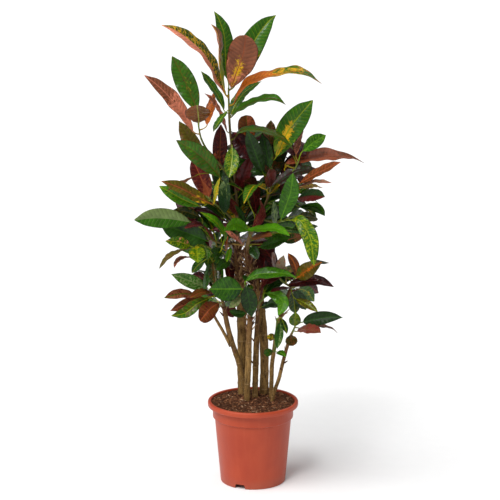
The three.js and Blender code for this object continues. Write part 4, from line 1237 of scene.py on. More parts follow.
def blade_mesh(plan, look, random):
    length = plan["length"]
    rows = max(FEWEST_ROWS, round(length / ROW_STEP))
    shares = np.linspace(0, 1, rows + 1)
    at, _, side, normal = rows_along(plan, shares)
    half = blade_halves(plan, shares, random)
    share, across = np.meshgrid(shares, ACROSS, indexing="ij")
    out, aside = across * half[:, None], np.abs(across)
    veins = (share * length - np.abs(out) / math.tan(math.radians(VEIN_ANGLE_DEGREES))) / VEIN_STEP
    lift = blade_lift(plan["phase"], half, share, across, veins, random)
    middle = at[:, None] + side[:, None] * out[..., None] + normal[:, None] * lift[..., None]
    thick = normal[:, None] * (BLADE_THICKNESS / 2 * (1 - aside**3))[..., None]
    above, below = middle + thick, middle - thick
    above[0], above[-1] = at[0], at[-1]
    points = np.concatenate([above.reshape(-1, 3), below.reshape(-1, 3)])
    faces, used = blade_faces(rows)

    ground, second, second_place, second_share, third, third_place, third_share, rib = look.split(" ")
    second_taken = float(second_share) * place_of(second_place, share, across)
    third_taken = float(third_share) * place_of(third_place, share, across)
    count, under = len(points), np.repeat([0.0, 1.0], share.size)
    values = {
        "blade": triples(count, *(on_both_skins(grid) for grid in (share * length, out, veins))),
        "leaf": triples(count, random() * SEEDS, under, on_both_skins(aside)),
        "ground": tinted(ground, np.ones(count)),
        "second": tinted(second, on_both_skins(second_taken)),
        "third": tinted(third, on_both_skins(third_taken)),
        "rib": tinted(rib, np.ones(count)),
    }
    return points[used], faces, {key: value[used] for key, value in values.items()}


def tinted(colour, alpha):
    """A colour for each point, with its share as the fourth number."""
    return np.concatenate([np.tile(linear(colour), (len(alpha), 1)), alpha[:, None]], 1)


def petiole_mesh(plan, look, random):
    """The leaf stalk and the midrib that it runs on into, as one tapering tube."""
    size = 0.55 + 0.45 * min(plan["length"] / 150, 1.2)
    shares = np.linspace(0.0, MIDRIB_ENDS, MIDRIB_RINGS)
    at, along, side, normal = rows_along(plan, shares)
    seat, foot = plan["seat"], at[0]
    reach = math.sqrt((foot - seat) @ (foot - seat))
    bend = foot - along[0] * reach * STALK_BEND
    t = np.linspace(0, 1, PETIOLE_RINGS + 1)[:-1, None]
    stalk = (1 - t) ** 2 * seat + 2 * t * (1 - t) * bend + t**2 * foot
    stalk_along = unit_rows(2 * (1 - t) * (bend - seat) + 2 * t * (foot - bend))
    stalk_side = unit_rows(side[0] - stalk_along * (stalk_along @ side[0])[:, None])
    flare = STALK_RADIUS + STALK_FOOT_FLARE * (1 - t[:, 0]) ** 4 + STALK_END_FLARE * t[:, 0] ** 4
    rib_radius = size * (RIB_TIP_RADIUS + RIB_TAPER * (1 - shares) ** 1.2)
    points = swept(
        np.concatenate([stalk, at - normal * (rib_radius * RIB_SUNK)[:, None]]),
        np.concatenate([stalk_side, side]),
        np.concatenate([np.cross(stalk_side, stalk_along), normal]),
        np.concatenate([size * flare, rib_radius])[:, None],
        TUBE_SIDES,
    )
    rib, count = look.split(" ")[-1], len(points)
    run = np.concatenate([(t[:, 0] - 1) * reach, shares * plan["length"]])
    tints = tinted(rib, np.ones(count))
    stalk_tint = STALK_TINTS[0] * linear("lime") + STALK_TINTS[1] * linear(rib)
    blend = np.repeat(smooth(run, -8, 6), TUBE_SIDES)[:, None]
    tints[:, :3] = stalk_tint * (1 - blend) + tints[:, :3] * blend
    unflecked = tints * [1, 1, 1, 0]
    values = {
        "blade": triples(count, np.repeat(run, TUBE_SIDES), 0, 0.5),
        "leaf": triples(count, random() * SEEDS, 0, 0),
        "ground": tints,
        "second": unflecked,
        "third": unflecked,
        "rib": tints,
    }
    faces = [face[::-1] for face in tube_faces(PETIOLE_RINGS + MIDRIB_RINGS, TUBE_SIDES)]
    return points, faces, values


# ---- Green stems and woody canes ----------------------------------------------------------------

# Waves in a tube's surface are given as turns round it, waves to a millimetre along it, and height to its
# radius.
CURVE_STEPS = 16
STEM_STEP = 4.0
STEM_AROUND = 12
STEM_WAVES = [(2, 0.02, 0.12), (4, 0.08, 0.08)]
FULL_WAVES_RADIUS = 3
JOINT_STEP = 11
JOINT_HEIGHT = 0.35
JOINT_FLAT = 0.6
JOINT_SUNK = 0.2
OLD_RADII = (1.6, 4.2)

CANE_STEP = 2.6
CANE_AROUND = 30
CANE_WAVES = [(2, 0.006, 0.05), (5, 0.02, 0.028), (9, 0.06, 0.016)]
CANE_SHRINK = 0.985
WAVE_TERMS = 3
WAVE_SCATTER = 1.7

# Leaf scars up a cane: the first one's height, the steps between them, and each one's size and bow.
FIRST_SCAR = (4, 14)
SCAR_STEP = 15.0
SCAR_STEPS = (0.5, 1.4)
SCAR_HEIGHT = 0.9
SCAR_HALF_HEIGHT = 1.8
SCAR_HALF_WIDTH = (0.7, 1.3)
SCAR_BOW = (1.5, 4.0)
THICK_RADIUS = 8

# Old leaf stubs on each cane: how many, and the stretch of it that they stand on.
STUBS = {
    "cane_main": (150, (0.7, 1.0)),
    "cane_right": (140, (0.72, 1.0)),
    "cane_front": (16, (0.86, 1.0)),
    "cane_left": (5, (0.5, 1.0)),
    "cane_thin": (3, (0.5, 1.0)),
    "cane_back": (6, (0.5, 1.0)),
    "cane_outer": (4, (0.5, 1.0)),
}
STUB_LENGTH = (9, 26)
STUB_RADIUS = (1.3, 2.8)
STUB_LEAN = (0.7, 2.2)
STUB_RINGS = 6
STUB_SIDES = 6
STUB_TAPER = 0.75


def smooth_path(points, step):
    """Even steps along the smooth curve through a stem's points: centres, radii and running length."""
    steps = CURVE_STEPS * (len(points) - 1)
    trail, lengths = midrib_of([at for at, _ in points], steps)
    count = max(6, round(lengths[-1] / step))
    run = np.linspace(0, lengths[-1], count + 1)
    at = np.stack([np.interp(run, lengths, trail[:, k]) for k in range(3)], 1)
    t = np.interp(run, lengths, np.arange(steps + 1)) / CURVE_STEPS
    return at, np.interp(t, range(len(points)), [radius for _, radius in points]), run


def tube_points(at, radii, around):
    """Ring points of a tube round a line of centres, with a radius for each ring or each point."""
    along = unit_rows(np.gradient(at, axis=0))
    first = unit_rows(np.cross(np.array([0, 1.0, 0]), along))
    return swept(at, first, np.cross(along, first), radii, around)


def waves(run, angles, seed, terms):
    """A soft random relief round and along a tube: a sum of turning waves."""
    random = seeded_random(seed)
    total = np.zeros((len(run), len(angles)))
    for around, along, height in terms:
        for _ in range(WAVE_TERMS):
            start, pitch = 2 * np.pi * random(), between((0.6, 1.4), random()) * along
            turns = int(between((0.5, 1.5), random()) * around + 0.5)
            total += height / WAVE_SCATTER * np.sin(2 * np.pi * pitch * run[:, None] + turns * angles + start)
    return total


def with_dome(at, radius, run):
    """The path of a tube with a short dome added at its top."""
    cap = np.linspace(0.3, 1, 4)
    rise = radius[-1] * 0.5 * cap
    return (
        np.concatenate([at, at[-1] + unit(at[-1] - at[-2]) * rise[:, None]]),
        np.concatenate([radius, radius[-1] * np.sqrt(np.maximum(1 - cap**2, 0.02))]),
        np.concatenate([run, run[-1] + rise]),
    )


def shoot_mesh(path, seed):
    at, radius, run = with_dome(*smooth_path(path, STEM_STEP))
    angles = round_angles(STEM_AROUND)
    relief = waves(run, angles, seed, STEM_WAVES) * (radius / FULL_WAVES_RADIUS)[:, None]
    joints = np.maximum(np.sin(2 * np.pi * run / JOINT_STEP + seed), JOINT_FLAT)
    relief += (JOINT_HEIGHT * joints - JOINT_SUNK)[:, None]
    points = tube_points(at, radius[:, None] + relief * np.minimum(radius / 2, 1)[:, None], STEM_AROUND)
    along, age = np.repeat(run, STEM_AROUND), np.repeat(smooth(radius, *OLD_RADII), STEM_AROUND)
    values = {"blade": triples(len(points), along, np.tile(angles, len(run)), age)}
    return points, tube_faces(len(run), STEM_AROUND), values


def scar_relief(run, angles, base_radius, random):
    """How strongly each point of a cane's bark stands in a leaf scar."""
    scars = np.zeros((len(run), len(angles)))
    height, turn = between(FIRST_SCAR, random()), 360 * random()
    while height < run[-1]:
        offset = (angles - math.radians(turn) + np.pi) % (2 * np.pi) - np.pi
        wide, bow = between(SCAR_HALF_WIDTH, random()), between(SCAR_BOW, random())
        rise = (run[:, None] - height + bow * (offset / wide) ** 2) / SCAR_HALF_HEIGHT
        scars = np.maximum(scars, np.exp(-(rise**2)) * np.exp(-((offset / wide) ** 4)))
        height += between(SCAR_STEPS, random()) * SCAR_STEP * min(base_radius / THICK_RADIUS, 1.3)
        turn += GOLDEN_ANGLE
    return scars


def cane_mesh(path, seed):
    at, radius, run = with_dome(*smooth_path(path, CANE_STEP))
    angles, thick = round_angles(CANE_AROUND), radius[:, None]
    scars = scar_relief(run, angles, radius[0], seeded_random(seed + 7))
    relief = waves(run, angles, seed, CANE_WAVES) * thick
    relief += SCAR_HEIGHT * scars * np.minimum(thick / THICK_RADIUS, 1)
    points = tube_points(at, thick * CANE_SHRINK + relief, CANE_AROUND)
    share = np.repeat(run / run[-1], CANE_AROUND)
    values = {"blade": triples(len(points), scars.ravel(), share, 0)}
    return points, tube_faces(len(run), CANE_AROUND), values


def stub_mesh(path, random, spread):
    """An old leaf stalk's stub: a short dry peg that stands out from the bark."""
    at, radius, _ = smooth_path(path, CANE_STEP)
    i = min(int(between(spread, random()) * len(at)), len(at) - 2)
    along = unit(at[i + 1] - at[i])
    first = unit(cross(np.array([0, 1.0, 0]), along))
    angle = 2 * np.pi * random()
    out = first * math.cos(angle) + cross(along, first) * math.sin(angle)
    long, thick = between(STUB_LENGTH, random()), between(STUB_RADIUS, random())
    reach = unit(out + along * between(STUB_LEAN, random()))
    droop = cross(reach, out) * 0.6 if random() < 0.5 else along * -0.2
    t = np.linspace(0, 1, STUB_RINGS)
    straight = at[i] + out * radius[i] * 0.9 + reach * (long * t)[:, None]
    radii = thick * (1 - STUB_TAPER * t)[:, None]
    points = tube_points(straight + droop * (long * 0.3 * t**2)[:, None], radii, STUB_SIDES)
    values = {"blade": triples(len(points), random(), np.repeat(t, STUB_SIDES), random())}
    return points, tube_faces(STUB_RINGS, STUB_SIDES), values


# ---- Soil and pot -------------------------------------------------------------------------------

COLLAR_BASE = POT_HEIGHT - COLLAR_DEPTH
LIP_BASE = POT_HEIGHT - LIP_DEPTH
FLOOR_TOP = FLOOR_RAISE + FLOOR_THICKNESS
POT_AROUND = 144
CORNER_STEPS = 4
SHARP_DEGREES = 40
NOTCH_SHAPE = [(-0.5, -1), (0.5, -1), (0.5, 0.45), (0.4, 1), (-0.4, 1), (-0.5, 0.45)]
NOTCH_REACH = (FOOT_RADIUS - 9, FOOT_RADIUS + 7)

SOIL_RINGS = 46
SOIL_AROUND = 150
SOIL_RELIEF = 1.7
SOIL_EDGE = RIM_INNER_RADIUS - 2 * GAP
SOIL_RISE = 4.6
FINE_MOUND = SOIL_MOUND - 3
SOIL_TONE = 0.25

# Lumps in the soil's top: where in the noise they come from, their size, and their share of the relief.
SOIL_LUMPS = [(0, 14, 1), (40, 4.5, 0.8), (80, 1.9, 0.5)]

CHIPS = 2700
CHIP_LENGTH = (2.2, 9.0)
CHIP_WIDTH = (0.3, 0.7)
CHIP_THICKNESS = (0.14, 0.4)
CHIP_TIP = (-0.5, 0.5)
CHIP_ENDS = (0.25, 0.8)
CHIP_MIDDLE = (0.8, 1.1)
CHIP_SIDES = 5


def soil_height(x, y):
    """The mound's crumbly top."""
    mound = FINE_MOUND * (1 - (x * x + y * y) / SOIL_EDGE**2)
    top = POT_HEIGHT - SOIL_BELOW_RIM + SOIL_RISE + mound
    lumps = [share * noise.noise(Vector((x, y, level)) / size) for level, size, share in SOIL_LUMPS]
    return top + SOIL_RELIEF * (lumps[0] + lumps[1] + lumps[2])


def toned(points, tone, lightness=0.0):
    return {"blade": triples(len(points), tone, lightness, 0)}


def soil_mesh():
    angles = round_angles(SOIL_AROUND)
    rings = []
    for share in np.linspace(1, 0.01, SOIL_RINGS):
        x, y = SOIL_EDGE * share * np.cos(angles), SOIL_EDGE * share * np.sin(angles)
        rings.append(np.stack([x, y, [soil_height(a, b) for a, b in zip(x, y)]], 1))
    skirt = [
        (FOOT_RADIUS - WALL - 1.5 * GAP, FLOOR_TOP + GAP),
        (WALL_TOP_RADIUS - WALL - 1.5 * GAP, COLLAR_BASE - 4),
        (COLLAR_RADIUS - WALL - GAP, COLLAR_BASE),
        (COLLAR_RADIUS - WALL - GAP, LIP_BASE - WALL),
        (SOIL_EDGE, LIP_BASE + WALL + 1),
    ]
    walls = [np.stack([r * np.cos(angles), r * np.sin(angles), np.full(SOIL_AROUND, z)], 1) for r, z in skirt]
    points = np.concatenate(walls + rings)
    return points, tube_faces(len(walls) + len(rings), SOIL_AROUND), toned(points, SOIL_TONE)


def chip_mesh(random):
    """A flat splintered chip of bark or a crumb, lying on the soil."""
    reach, around = (SOIL_EDGE - 4) * math.sqrt(random()), 2 * np.pi * random()
    x, y = reach * math.cos(around), reach * math.sin(around)
    long = between(CHIP_LENGTH, random() ** 2)
    wide, thick = long * between(CHIP_WIDTH, random()), long * between(CHIP_THICKNESS, random())
    turn, tip = 2 * np.pi * random(), between(CHIP_TIP, random())
    forward = np.array([math.cos(turn) * math.cos(tip), math.sin(turn) * math.cos(tip), math.sin(tip)])
    level = unit(cross(np.array([0, 0, 1.0]), forward))
    side = turned(level, forward, between(CHIP_TIP, random()))
    up = cross(forward, side)
    centre = np.array([x, y, soil_height(x, y) + thick * 0.3])
    points = []
    for end in (-1, 0, 1):
        for k in range(CHIP_SIDES):
            angle = 2 * np.pi * k / CHIP_SIDES + 0.6 * random()
            narrow = between(CHIP_ENDS if end else CHIP_MIDDLE, random())
            ring = side * math.cos(angle) * wide / 2 + up * math.sin(angle) * thick / 2
            points.append(centre + forward * end * long / 2 * between(CHIP_MIDDLE, random()) + ring * narrow)
    return np.array(points), tube_faces(3, CHIP_SIDES), toned(points, random(), random())


def rounded(outline):
    """The outline with its corners rounded; each corner is (radius, height, rounding)."""
    path = []
    for i, (radius, height, rounding) in enumerate(outline):
        corner = np.array([radius, height], float)
        if rounding == 0:
            path.append(corner)
            continue
        start, end = (
            corner + unit(away) * min(rounding, 0.48 * math.sqrt(away @ away))
            for away in (np.array(outline[k][:2]) - corner for k in (i - 1, i + 1))
        )
        for t in np.linspace(0, 1, CORNER_STEPS + 1):
            path.append((1 - t) ** 2 * start + 2 * t * (1 - t) * corner + t**2 * end)
    return path


# The pot's outline from the middle of its underside round to the middle of its floor, with each corner's
# rounding. The first and last corners only end the line.
POT_OUTLINE = [
    (0, FLOOR_RAISE, 0),
    (FOOT_RADIUS - RING_WIDTH, FLOOR_RAISE, 0.8),
    (FOOT_RADIUS - RING_WIDTH, 0, 0.5),
    (FOOT_RADIUS, 0, 1.2),
    (WALL_TOP_RADIUS, COLLAR_BASE - 2, 1.2),
    (COLLAR_RADIUS, COLLAR_BASE, 1.4),
    (COLLAR_RADIUS, LIP_BASE, 1.2),
    (LIP_RADIUS, LIP_BASE, 3.0),
    (LIP_RADIUS, POT_HEIGHT, 5.0),
    (RIM_INNER_RADIUS, POT_HEIGHT, 2.5),
    (RIM_INNER_RADIUS, LIP_BASE + WALL, 1.5),
    (COLLAR_RADIUS - WALL, LIP_BASE - WALL, 1.5),
    (COLLAR_RADIUS - WALL, COLLAR_BASE - 1, 1),
    (WALL_TOP_RADIUS - WALL, COLLAR_BASE - 4, 1),
    (FOOT_RADIUS - WALL, FLOOR_TOP, 1.5),
    (0, FLOOR_TOP, 0),
]


def notch_mesh(turn):
    """The block that cuts one drainage notch through the foot ring."""
    out, aside = np.array([math.cos(turn), math.sin(turn)]), np.array([-math.sin(turn), math.cos(turn)])
    points = []
    for reach in NOTCH_REACH:
        for across, up in NOTCH_SHAPE:
            points.append([*(out * reach + aside * across * NOTCH_WIDTH), up * NOTCH_HEIGHT])
    return np.array(points), tube_faces(2, len(NOTCH_SHAPE)), {}


def pot_piece(material):
    """The moulded pot, turned from its outline, with the drainage notches cut through its foot ring."""
    profile = rounded(POT_OUTLINE)[1:-1]
    angles = round_angles(POT_AROUND)
    points = np.array([[r * math.cos(a), r * math.sin(a), z] for r, z in profile for a in angles])
    shell, cutters = Sheaf(), Sheaf()
    shell.add(points, tube_faces(len(profile), POT_AROUND), {})
    pot = shell.made("pot_shell", material, "pot", "pot")
    for n in range(NOTCHES):
        cutters.add(*notch_mesh(math.radians(FIRST_NOTCH_DEGREES + n * 360 / NOTCHES)))
    cutter = cutters.made("notch_cutter", material, "pot", "pot")
    cut = pot.modifiers.new("notches", "BOOLEAN")
    cut.object, cut.operation, cut.solver = cutter, "DIFFERENCE", "EXACT"
    whole = bpy.data.meshes.new_from_object(pot.evaluated_get(bpy.context.evaluated_depsgraph_get()))
    pot.modifiers.clear()
    pot.data = whole
    bpy.data.objects.remove(cutter)
    whole.set_sharp_from_angle(angle=math.radians(SHARP_DEGREES))


# ---- Materials ----------------------------------------------------------------------------------


class Surface:
    """A procedural material, with short calls to build its nodes."""

    def __init__(self, name, **fixed):
        self.material = bpy.data.materials.new(name)
        self.material.use_nodes = True
        self.tree = self.material.node_tree
        self.shader = self.tree.nodes["Principled BSDF"]
        for key, value in fixed.items():
            self.shader.inputs[key.replace("_", " ")].default_value = value

    def put(self, socket, value):
        if isinstance(value, bpy.types.NodeSocket):
            self.tree.links.new(value, socket)
        elif isinstance(value, (tuple, list, np.ndarray)) and socket.type == "RGBA":
            socket.default_value = (*value, 1)
        else:
            socket.default_value = value

    def node(self, kind, sockets, **settings):
        """A node with its settings, and the values or links of its sockets by number or name."""
        made = self.tree.nodes.new(kind)
        for key, value in settings.items():
            setattr(made, key, value)
        for key, value in sockets.items():
            self.put(made.inputs[key], value)
        return made.outputs

    def maths(self, operation, *values):
        padded = (*values, 0.0, 0.0)[:3]
        return self.node("ShaderNodeMath", dict(enumerate(padded)), operation=operation)[0]

    def times(self, a, b):
        return self.maths("MULTIPLY", a, b)

    def plus(self, a, b):
        return self.maths("ADD", a, b)

    def times_plus(self, a, b, c):
        return self.maths("MULTIPLY_ADD", a, b, c)

    def centred(self, value, scale):
        """A noise about 0.5, moved to about 0 and scaled."""
        return self.times(self.maths("SUBTRACT", value, 0.5), scale)

    def mix(self, share, a, b, blend="MIX"):
        return self.node("ShaderNodeMix", {0: share, 6: a, 7: b}, data_type="RGBA", blend_type=blend)[2]

    def step(self, value, low, high, start=0.0, end=1.0):
        """Runs smoothly from start to end as the value goes from low to high."""
        numbers = dict(enumerate((value, low, high, start, end)))
        return self.node("ShaderNodeMapRange", numbers, interpolation_type="SMOOTHSTEP")[0]

    def over(self, colour, name, value, low, high, start=0.0, end=1.0):
        """The colour with a named one laid over it, as strongly as a smooth step of the value says."""
        return self.mix(self.step(value, low, high, start, end), colour, linear(name))

    def attribute(self, name):
        return self.node("ShaderNodeAttribute", {}, attribute_name=name)

    def parts(self, vector):
        return self.node("ShaderNodeSeparateXYZ", {0: vector})

    def triple(self, name):
        return self.parts(self.attribute(name)["Vector"])

    def vector(self, x, y, z):
        return self.node("ShaderNodeCombineXYZ", {0: x, 1: y, 2: z})[0]

    def noise(self, vector, scale, detail=2.0, rough=0.5, warp=0.0):
        sockets = {"Vector": vector, "Scale": scale, "Detail": detail, "Roughness": rough, "Distortion": warp}
        return self.node("ShaderNodeTexNoise", sockets)["Fac"]

    def place(self):
        return self.node("ShaderNodeTexCoord", {})["Object"]

    def stretched(self, vector, x, y, z):
        return self.node("ShaderNodeMapping", {"Vector": vector, "Scale": (x, y, z)})[0]

    def finish(self, colour, roughness, height, distance):
        bump = self.node("ShaderNodeBump", {"Strength": 1.0, "Distance": distance, "Height": height})[0]
        for key, value in (("Base Color", colour), ("Roughness", roughness), ("Normal", bump)):
            self.put(self.shader.inputs[key], value)
        return self.material


def leaf_material():
    leaf = Surface("croton_leaf", Specular_IOR_Level=0.1, Coat_Weight=0.24, Coat_Roughness=0.15)
    along, across, veins = leaf.triple("blade")
    seed, under, aside = leaf.triple("leaf")
    ground, second, third, rib = (leaf.attribute(name) for name in ("ground", "second", "third", "rib"))

    def blade_noise(run, run_scale, across_scale, *look):
        """A noise over the blade, at its own scales along it and across it."""
        place = leaf.vector(leaf.times(run, run_scale), leaf.times(across, across_scale), seed)
        return leaf.noise(place, 1.0, *look)

    # Flecks follow the side veins, bent a little; blotches don't.
    wander = blade_noise(along, 0.16, 0.16)
    bent = leaf.times_plus(leaf.maths("SUBTRACT", wander, 0.5), 0.5, veins)
    streak = blade_noise(bent, 2.0, 0.13, 4.0, 0.65, 0.5)
    patch = blade_noise(along, 0.06, 0.09, 4.0, 0.6, 0.8)
    speck = blade_noise(bent, 5.0, 0.3, 3.0, 0.6, 0.4)
    fleck = leaf.times_plus(speck, 0.35, leaf.times_plus(streak, 0.45, leaf.times(patch, 0.2)))
    second_share = leaf.step(leaf.plus(second["Alpha"], leaf.centred(fleck, 3.0)), 0.44, 0.56)
    third_share = leaf.step(leaf.plus(third["Alpha"], leaf.centred(patch, 1.6)), 0.36, 0.66)
    colour = leaf.mix(second_share, ground["Color"], second["Color"])
    colour = leaf.mix(third_share, colour, third["Color"])

    vein_place = leaf.maths("FRACT", bent)
    near_vein = leaf.maths("ABSOLUTE", leaf.times_plus(vein_place, 2.0, -1.0))
    vein = leaf.times(leaf.step(near_vein, 0.84, 0.99), leaf.step(aside, 0.6, 1.0, 1.0, 0.2))
    midrib = leaf.step(leaf.maths("ABSOLUTE", across), 0.7, 1.5, 1.0, 0.0)
    colour = leaf.mix(leaf.times(vein, 0.5), colour, rib["Color"])
    colour = leaf.mix(leaf.times(midrib, 0.8), colour, rib["Color"])

    # Light and shade: soft clouds, a fine grain, and each panel between two side veins.
    cloud = blade_noise(along, 0.03, 0.05)
    grain = leaf.noise(leaf.vector(along, across, seed), 0.9, 3.0, 0.7)
    light = leaf.plus(leaf.step(cloud, 0.3, 0.7, 0.8, 1.14), leaf.times_plus(grain, 0.3, -0.15))
    panel = leaf.step(vein_place, 0.05, 0.95, 0.84, 1.14)
    panelled = leaf.mix(leaf.step(aside, 0.02, 0.3), (1, 1, 1), leaf.vector(panel, panel, panel))
    light = leaf.times(light, panelled)
    colour = leaf.mix(1.0, colour, leaf.vector(light, light, light), "MULTIPLY")
    colour = leaf.mix(leaf.step(aside, 0.93, 1.0, 0.0, 0.45), colour, linear("brown") * 0.4)
    colour = leaf.mix(under, colour, leaf.mix(0.3, colour, linear("underside") * 0.5))

    net_look = {"Vector": leaf.vector(along, across, seed), "Scale": 0.55}
    net = leaf.node("ShaderNodeTexVoronoi", net_look, feature="DISTANCE_TO_EDGE")["Distance"]
    height = leaf.times_plus(vein, -0.55, leaf.step(net, 0.0, 0.25, 0.0, 0.35))
    height = leaf.times_plus(patch, 1.4, leaf.times_plus(grain, 0.25, height))
    rough = leaf.times_plus(under, 0.22, leaf.step(patch, 0.3, 0.7, 0.3, 0.46))
    return leaf.finish(colour, rough, height, 0.0006)


def shoot_material():
    shoot = Surface("croton_shoot", Specular_IOR_Level=0.2)
    run, angle, age = shoot.triple("blade")
    streak = shoot.noise(shoot.vector(shoot.times(run, 0.08), shoot.times(angle, 1.5), age), 1.0, 4.0)
    fleck = shoot.noise(shoot.place(), 900.0, 3.0)
    young = shoot.mix(streak, linear("young_dark"), linear("young_light"))
    old = shoot.mix(streak, linear("old_dark"), linear("old_light"))
    colour = shoot.mix(shoot.step(shoot.times_plus(streak, 0.5, age), 0.35, 0.8), young, old)
    colour = shoot.over(colour, "shoot_fleck", fleck, 0.58, 0.7, 0.0, 0.5)
    height = shoot.times_plus(fleck, 0.5, streak)
    return shoot.finish(colour, shoot.step(fleck, 0.3, 0.7, 0.5, 0.75), height, 0.0004)


def bark_material():
    bark = Surface("croton_bark", Specular_IOR_Level=0.12)
    scar, share, _ = bark.triple("blade")
    place = bark.place()
    streak = bark.noise(bark.stretched(place, 230, 230, 36), 1.0, 5.0, 0.65, 0.4)
    patch = bark.noise(bark.stretched(place, 30, 30, 18), 1.0, 3.0, 0.55, 0.5)
    crumb = bark.noise(place, 700.0, 4.0, 0.65)
    colour = bark.mix(bark.step(patch, 0.35, 0.65), linear("bark_dark"), linear("bark_light"))
    colour = bark.over(colour, "bark_crack", streak, 0.32, 0.58, 0.8, 0.0)
    colour = bark.over(colour, "bark_cork", crumb, 0.54, 0.66, 0.0, 0.6)
    colour = bark.over(colour, "bark_scar", scar, 0.25, 0.9, 0.0, 0.55)
    colour = bark.over(colour, "bark_top", share, 0.55, 1.0, 0.0, 0.5)
    height = bark.times_plus(streak, 1.2, crumb)
    return bark.finish(colour, bark.step(crumb, 0.3, 0.7, 0.7, 0.92), height, 0.0009)


def stub_material():
    stub = Surface("dry_stub", Specular_IOR_Level=0.15)
    tone, share, _ = stub.triple("blade")
    fibre = stub.noise(stub.stretched(stub.place(), 900, 900, 120), 1.0, 4.0, 0.6)
    colour = stub.mix(stub.step(tone, 0.2, 0.5), linear("stub_dark"), linear("stub_mid"))
    colour = stub.over(colour, "stub_pale", tone, 0.5, 0.85)
    colour = stub.over(colour, "stub_crack", fibre, 0.35, 0.6, 0.6, 0.0)
    colour = stub.over(colour, "stub_end", share, 0.5, 1.0, 0.0, 0.35)
    return stub.finish(colour, stub.step(fibre, 0.3, 0.7, 0.6, 0.85), fibre, 0.0006)


def soil_material():
    soil = Surface("potting_soil", Specular_IOR_Level=0.2)
    tone, lightness, _ = soil.triple("blade")
    place = soil.place()
    grain = soil.noise(place, 420.0, 5.0, 0.7)
    clump = soil.noise(place, 90.0, 3.0, 0.6)
    peat = soil.mix(clump, linear("peat_dark"), linear("peat_light"))
    chip = soil.mix(lightness, linear("chip_dark"), linear("chip_light"))
    chip = soil.over(chip, "chip_pale", tone, 0.93, 0.97)
    colour = soil.mix(soil.step(soil.times_plus(grain, 0.3, tone), 0.5, 0.72), peat, chip)
    # Painted shade: where the grain is low and the bump sinks, the soil darkens towards near black.
    colour = soil.over(colour, "soil_hollow_shade", grain, 0.35, 0.6, 0.45, 0.0)
    return soil.finish(colour, soil.step(grain, 0.3, 0.7, 0.75, 0.95), grain, 0.0012)


def pot_material():
    pot = Surface("terracotta_plastic", Specular_IOR_Level=0.35)
    place = pot.place()
    cloud = pot.noise(place, 11.0, 3.0, 0.55, 0.3)
    grain = pot.noise(place, 1400.0, 2.0, 0.6)
    flow = pot.noise(pot.stretched(place, 60, 60, 4), 1.0, 3.0, 0.6)
    scuff = pot.noise(pot.stretched(place, 90, 90, 240), 1.0, 5.0, 0.7, 1.2)
    colour = pot.mix(pot.step(cloud, 0.3, 0.7), linear("pot_deep"), linear("pot_plain"))
    colour = pot.over(colour, "pot_flow", flow, 0.4, 0.75, 0.0, 0.25)
    colour = pot.over(colour, "pot_scuff", scuff, 0.64, 0.74, 0.0, 0.22)
    near_floor = pot.step(pot.parts(place)["Z"], 0.0, 0.03, 0.4, 0.0)
    colour = pot.mix(pot.times(near_floor, cloud), colour, linear("pot_dust"))
    rough = pot.plus(pot.step(cloud, 0.3, 0.7, 0.4, 0.5), pot.step(scuff, 0.6, 0.74, 0.0, 0.15))
    return pot.finish(colour, rough, pot.times_plus(flow, 1.5, grain), 0.00012)


def floor_material():
    floor = Surface("pale_floor")
    grain = floor.noise(floor.place(), 30.0, 3.0)
    colour = floor.mix(grain, (0.9, 0.9, 0.9), (0.93, 0.93, 0.93))
    return floor.finish(colour, 0.9, grain, 0.0001)


# ---- Making the pieces --------------------------------------------------------------------------

random = seeded_random(SEED * 7)
look_random = seeded_random(SEED * 11)

foliage, shoots = leaf_material(), shoot_material()
bark, dry = bark_material(), stub_material()
for stem, paths in stem_paths.items():
    front, behind, green = Sheaf(), Sheaf(), Sheaf()
    for leaf in leaves:
        if leaf["stem"] == stem:
            look = leaf_look(leaf, look_random)
            blades = front if leaf["name"] in front_looks else behind
            blades.add(*blade_mesh(leaf, look, random))
            blades.add(*petiole_mesh(leaf, look, random))
    for number, path in enumerate(paths):
        green.add(*shoot_mesh(path, SEED + number))
    short = stem.split("_")[1]
    front.made("foliage_" + short, foliage, "foliage", stem)
    if behind.count:
        behind.made("foliage_behind_" + short, foliage, "foliage", stem)
    green.made("shoots_" + short, shoots, "foliage", stem)

for number, (cane, paths) in enumerate(cane_paths.items()):
    wood, stubs = Sheaf(), Sheaf()
    for fork, path in enumerate(paths):
        wood.add(*cane_mesh(path, SEED + 31 * number + fork))
    count, spread = STUBS[cane]
    for _ in range(count):
        stubs.add(*stub_mesh(paths[0], random, spread))
    short = cane.split("_")[1]
    wood.made("bark_" + short, bark, "bark", cane)
    stubs.made("stubs_" + short, dry, "bark", cane)

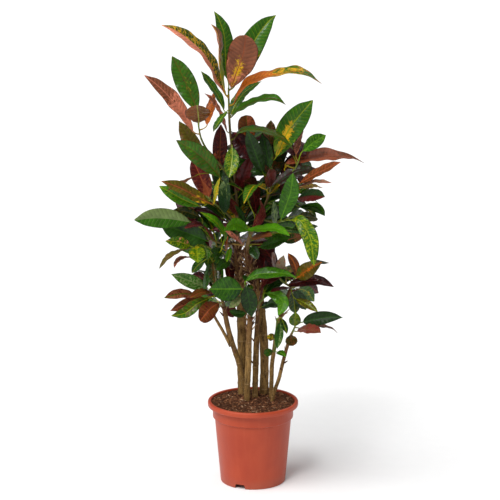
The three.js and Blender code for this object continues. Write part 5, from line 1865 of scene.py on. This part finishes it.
earth = soil_material()
bed, chips = Sheaf(), Sheaf()
bed.add(*soil_mesh())
bed.made("soil_bed", earth, "soil", "soil")
for _ in range(CHIPS):
    chips.add(*chip_mesh(random))
chips.made("soil_chips", earth, "soil", "soil", sharp_degrees=SHARP_DEGREES)
pot_piece(pot_material())

# ---- Floor, light and camera --------------------------------------------------------------------

# In metres: the floor reaches far beyond the view, and lies a hair below the pot's foot.
FLOOR_HALF = 60.0
FLOOR_DROP = 0.0004
WORLD_STRENGTH = 0.28

# Soft lamps like the sun: name, the way they shine, how wide they look from the plant, and strength.
LIGHTS = [
    ("key", (0.6, 0.45, -1.15), 60, 2.8),
    ("spark", (0.3, 0.75, -1.0), 14, 0.7),
    ("back", (-0.5, -0.6, -1.0), 30, 0.3),
]

scene = bpy.context.scene
scene.view_settings.view_transform = "Standard"

floor_mesh = bpy.data.meshes.new("floor")
corners = [(x * FLOOR_HALF, y * FLOOR_HALF, 0) for x, y in ((-1, -1), (1, -1), (1, 1), (-1, 1))]
floor_mesh.from_pydata(corners, [], [(0, 1, 2, 3)])
floor_mesh.materials.append(floor_material())
floor = bpy.data.objects.new("floor", floor_mesh)
floor.location.z = -FLOOR_DROP
scene.collection.objects.link(floor)

world = bpy.data.worlds.new("studio")
world.use_nodes = True
sky = world.node_tree.nodes["Background"].inputs
sky["Color"].default_value = (1, 1, 1, 1)
sky["Strength"].default_value = WORLD_STRENGTH
scene.world = world

for name, way, spread, strength in LIGHTS:
    lamp = bpy.data.lights.new(name, "SUN")
    lamp.angle, lamp.energy = math.radians(spread), strength
    sun = bpy.data.objects.new(name, lamp)
    sun.rotation_euler = Vector(way).to_track_quat("-Z", "Y").to_euler()
    scene.collection.objects.link(sun)

lens = bpy.data.cameras.new("camera")
lens.sensor_width = SENSOR
lens.lens = SENSOR * VIEW_SCALE / PHOTO_SIDE
lens.shift_x = (PHOTO_SIDE / 2 - VIEW_CENTRE[0]) / PHOTO_SIDE
lens.shift_y = (VIEW_CENTRE[1] - PHOTO_SIDE / 2) / PHOTO_SIDE
camera = bpy.data.objects.new("camera", lens)
camera.location = EYE * METRE
camera.rotation_euler = (math.radians(90 + EYE_TILT_DEGREES), 0, 0)
scene.collection.objects.link(camera)
scene.camera = camera
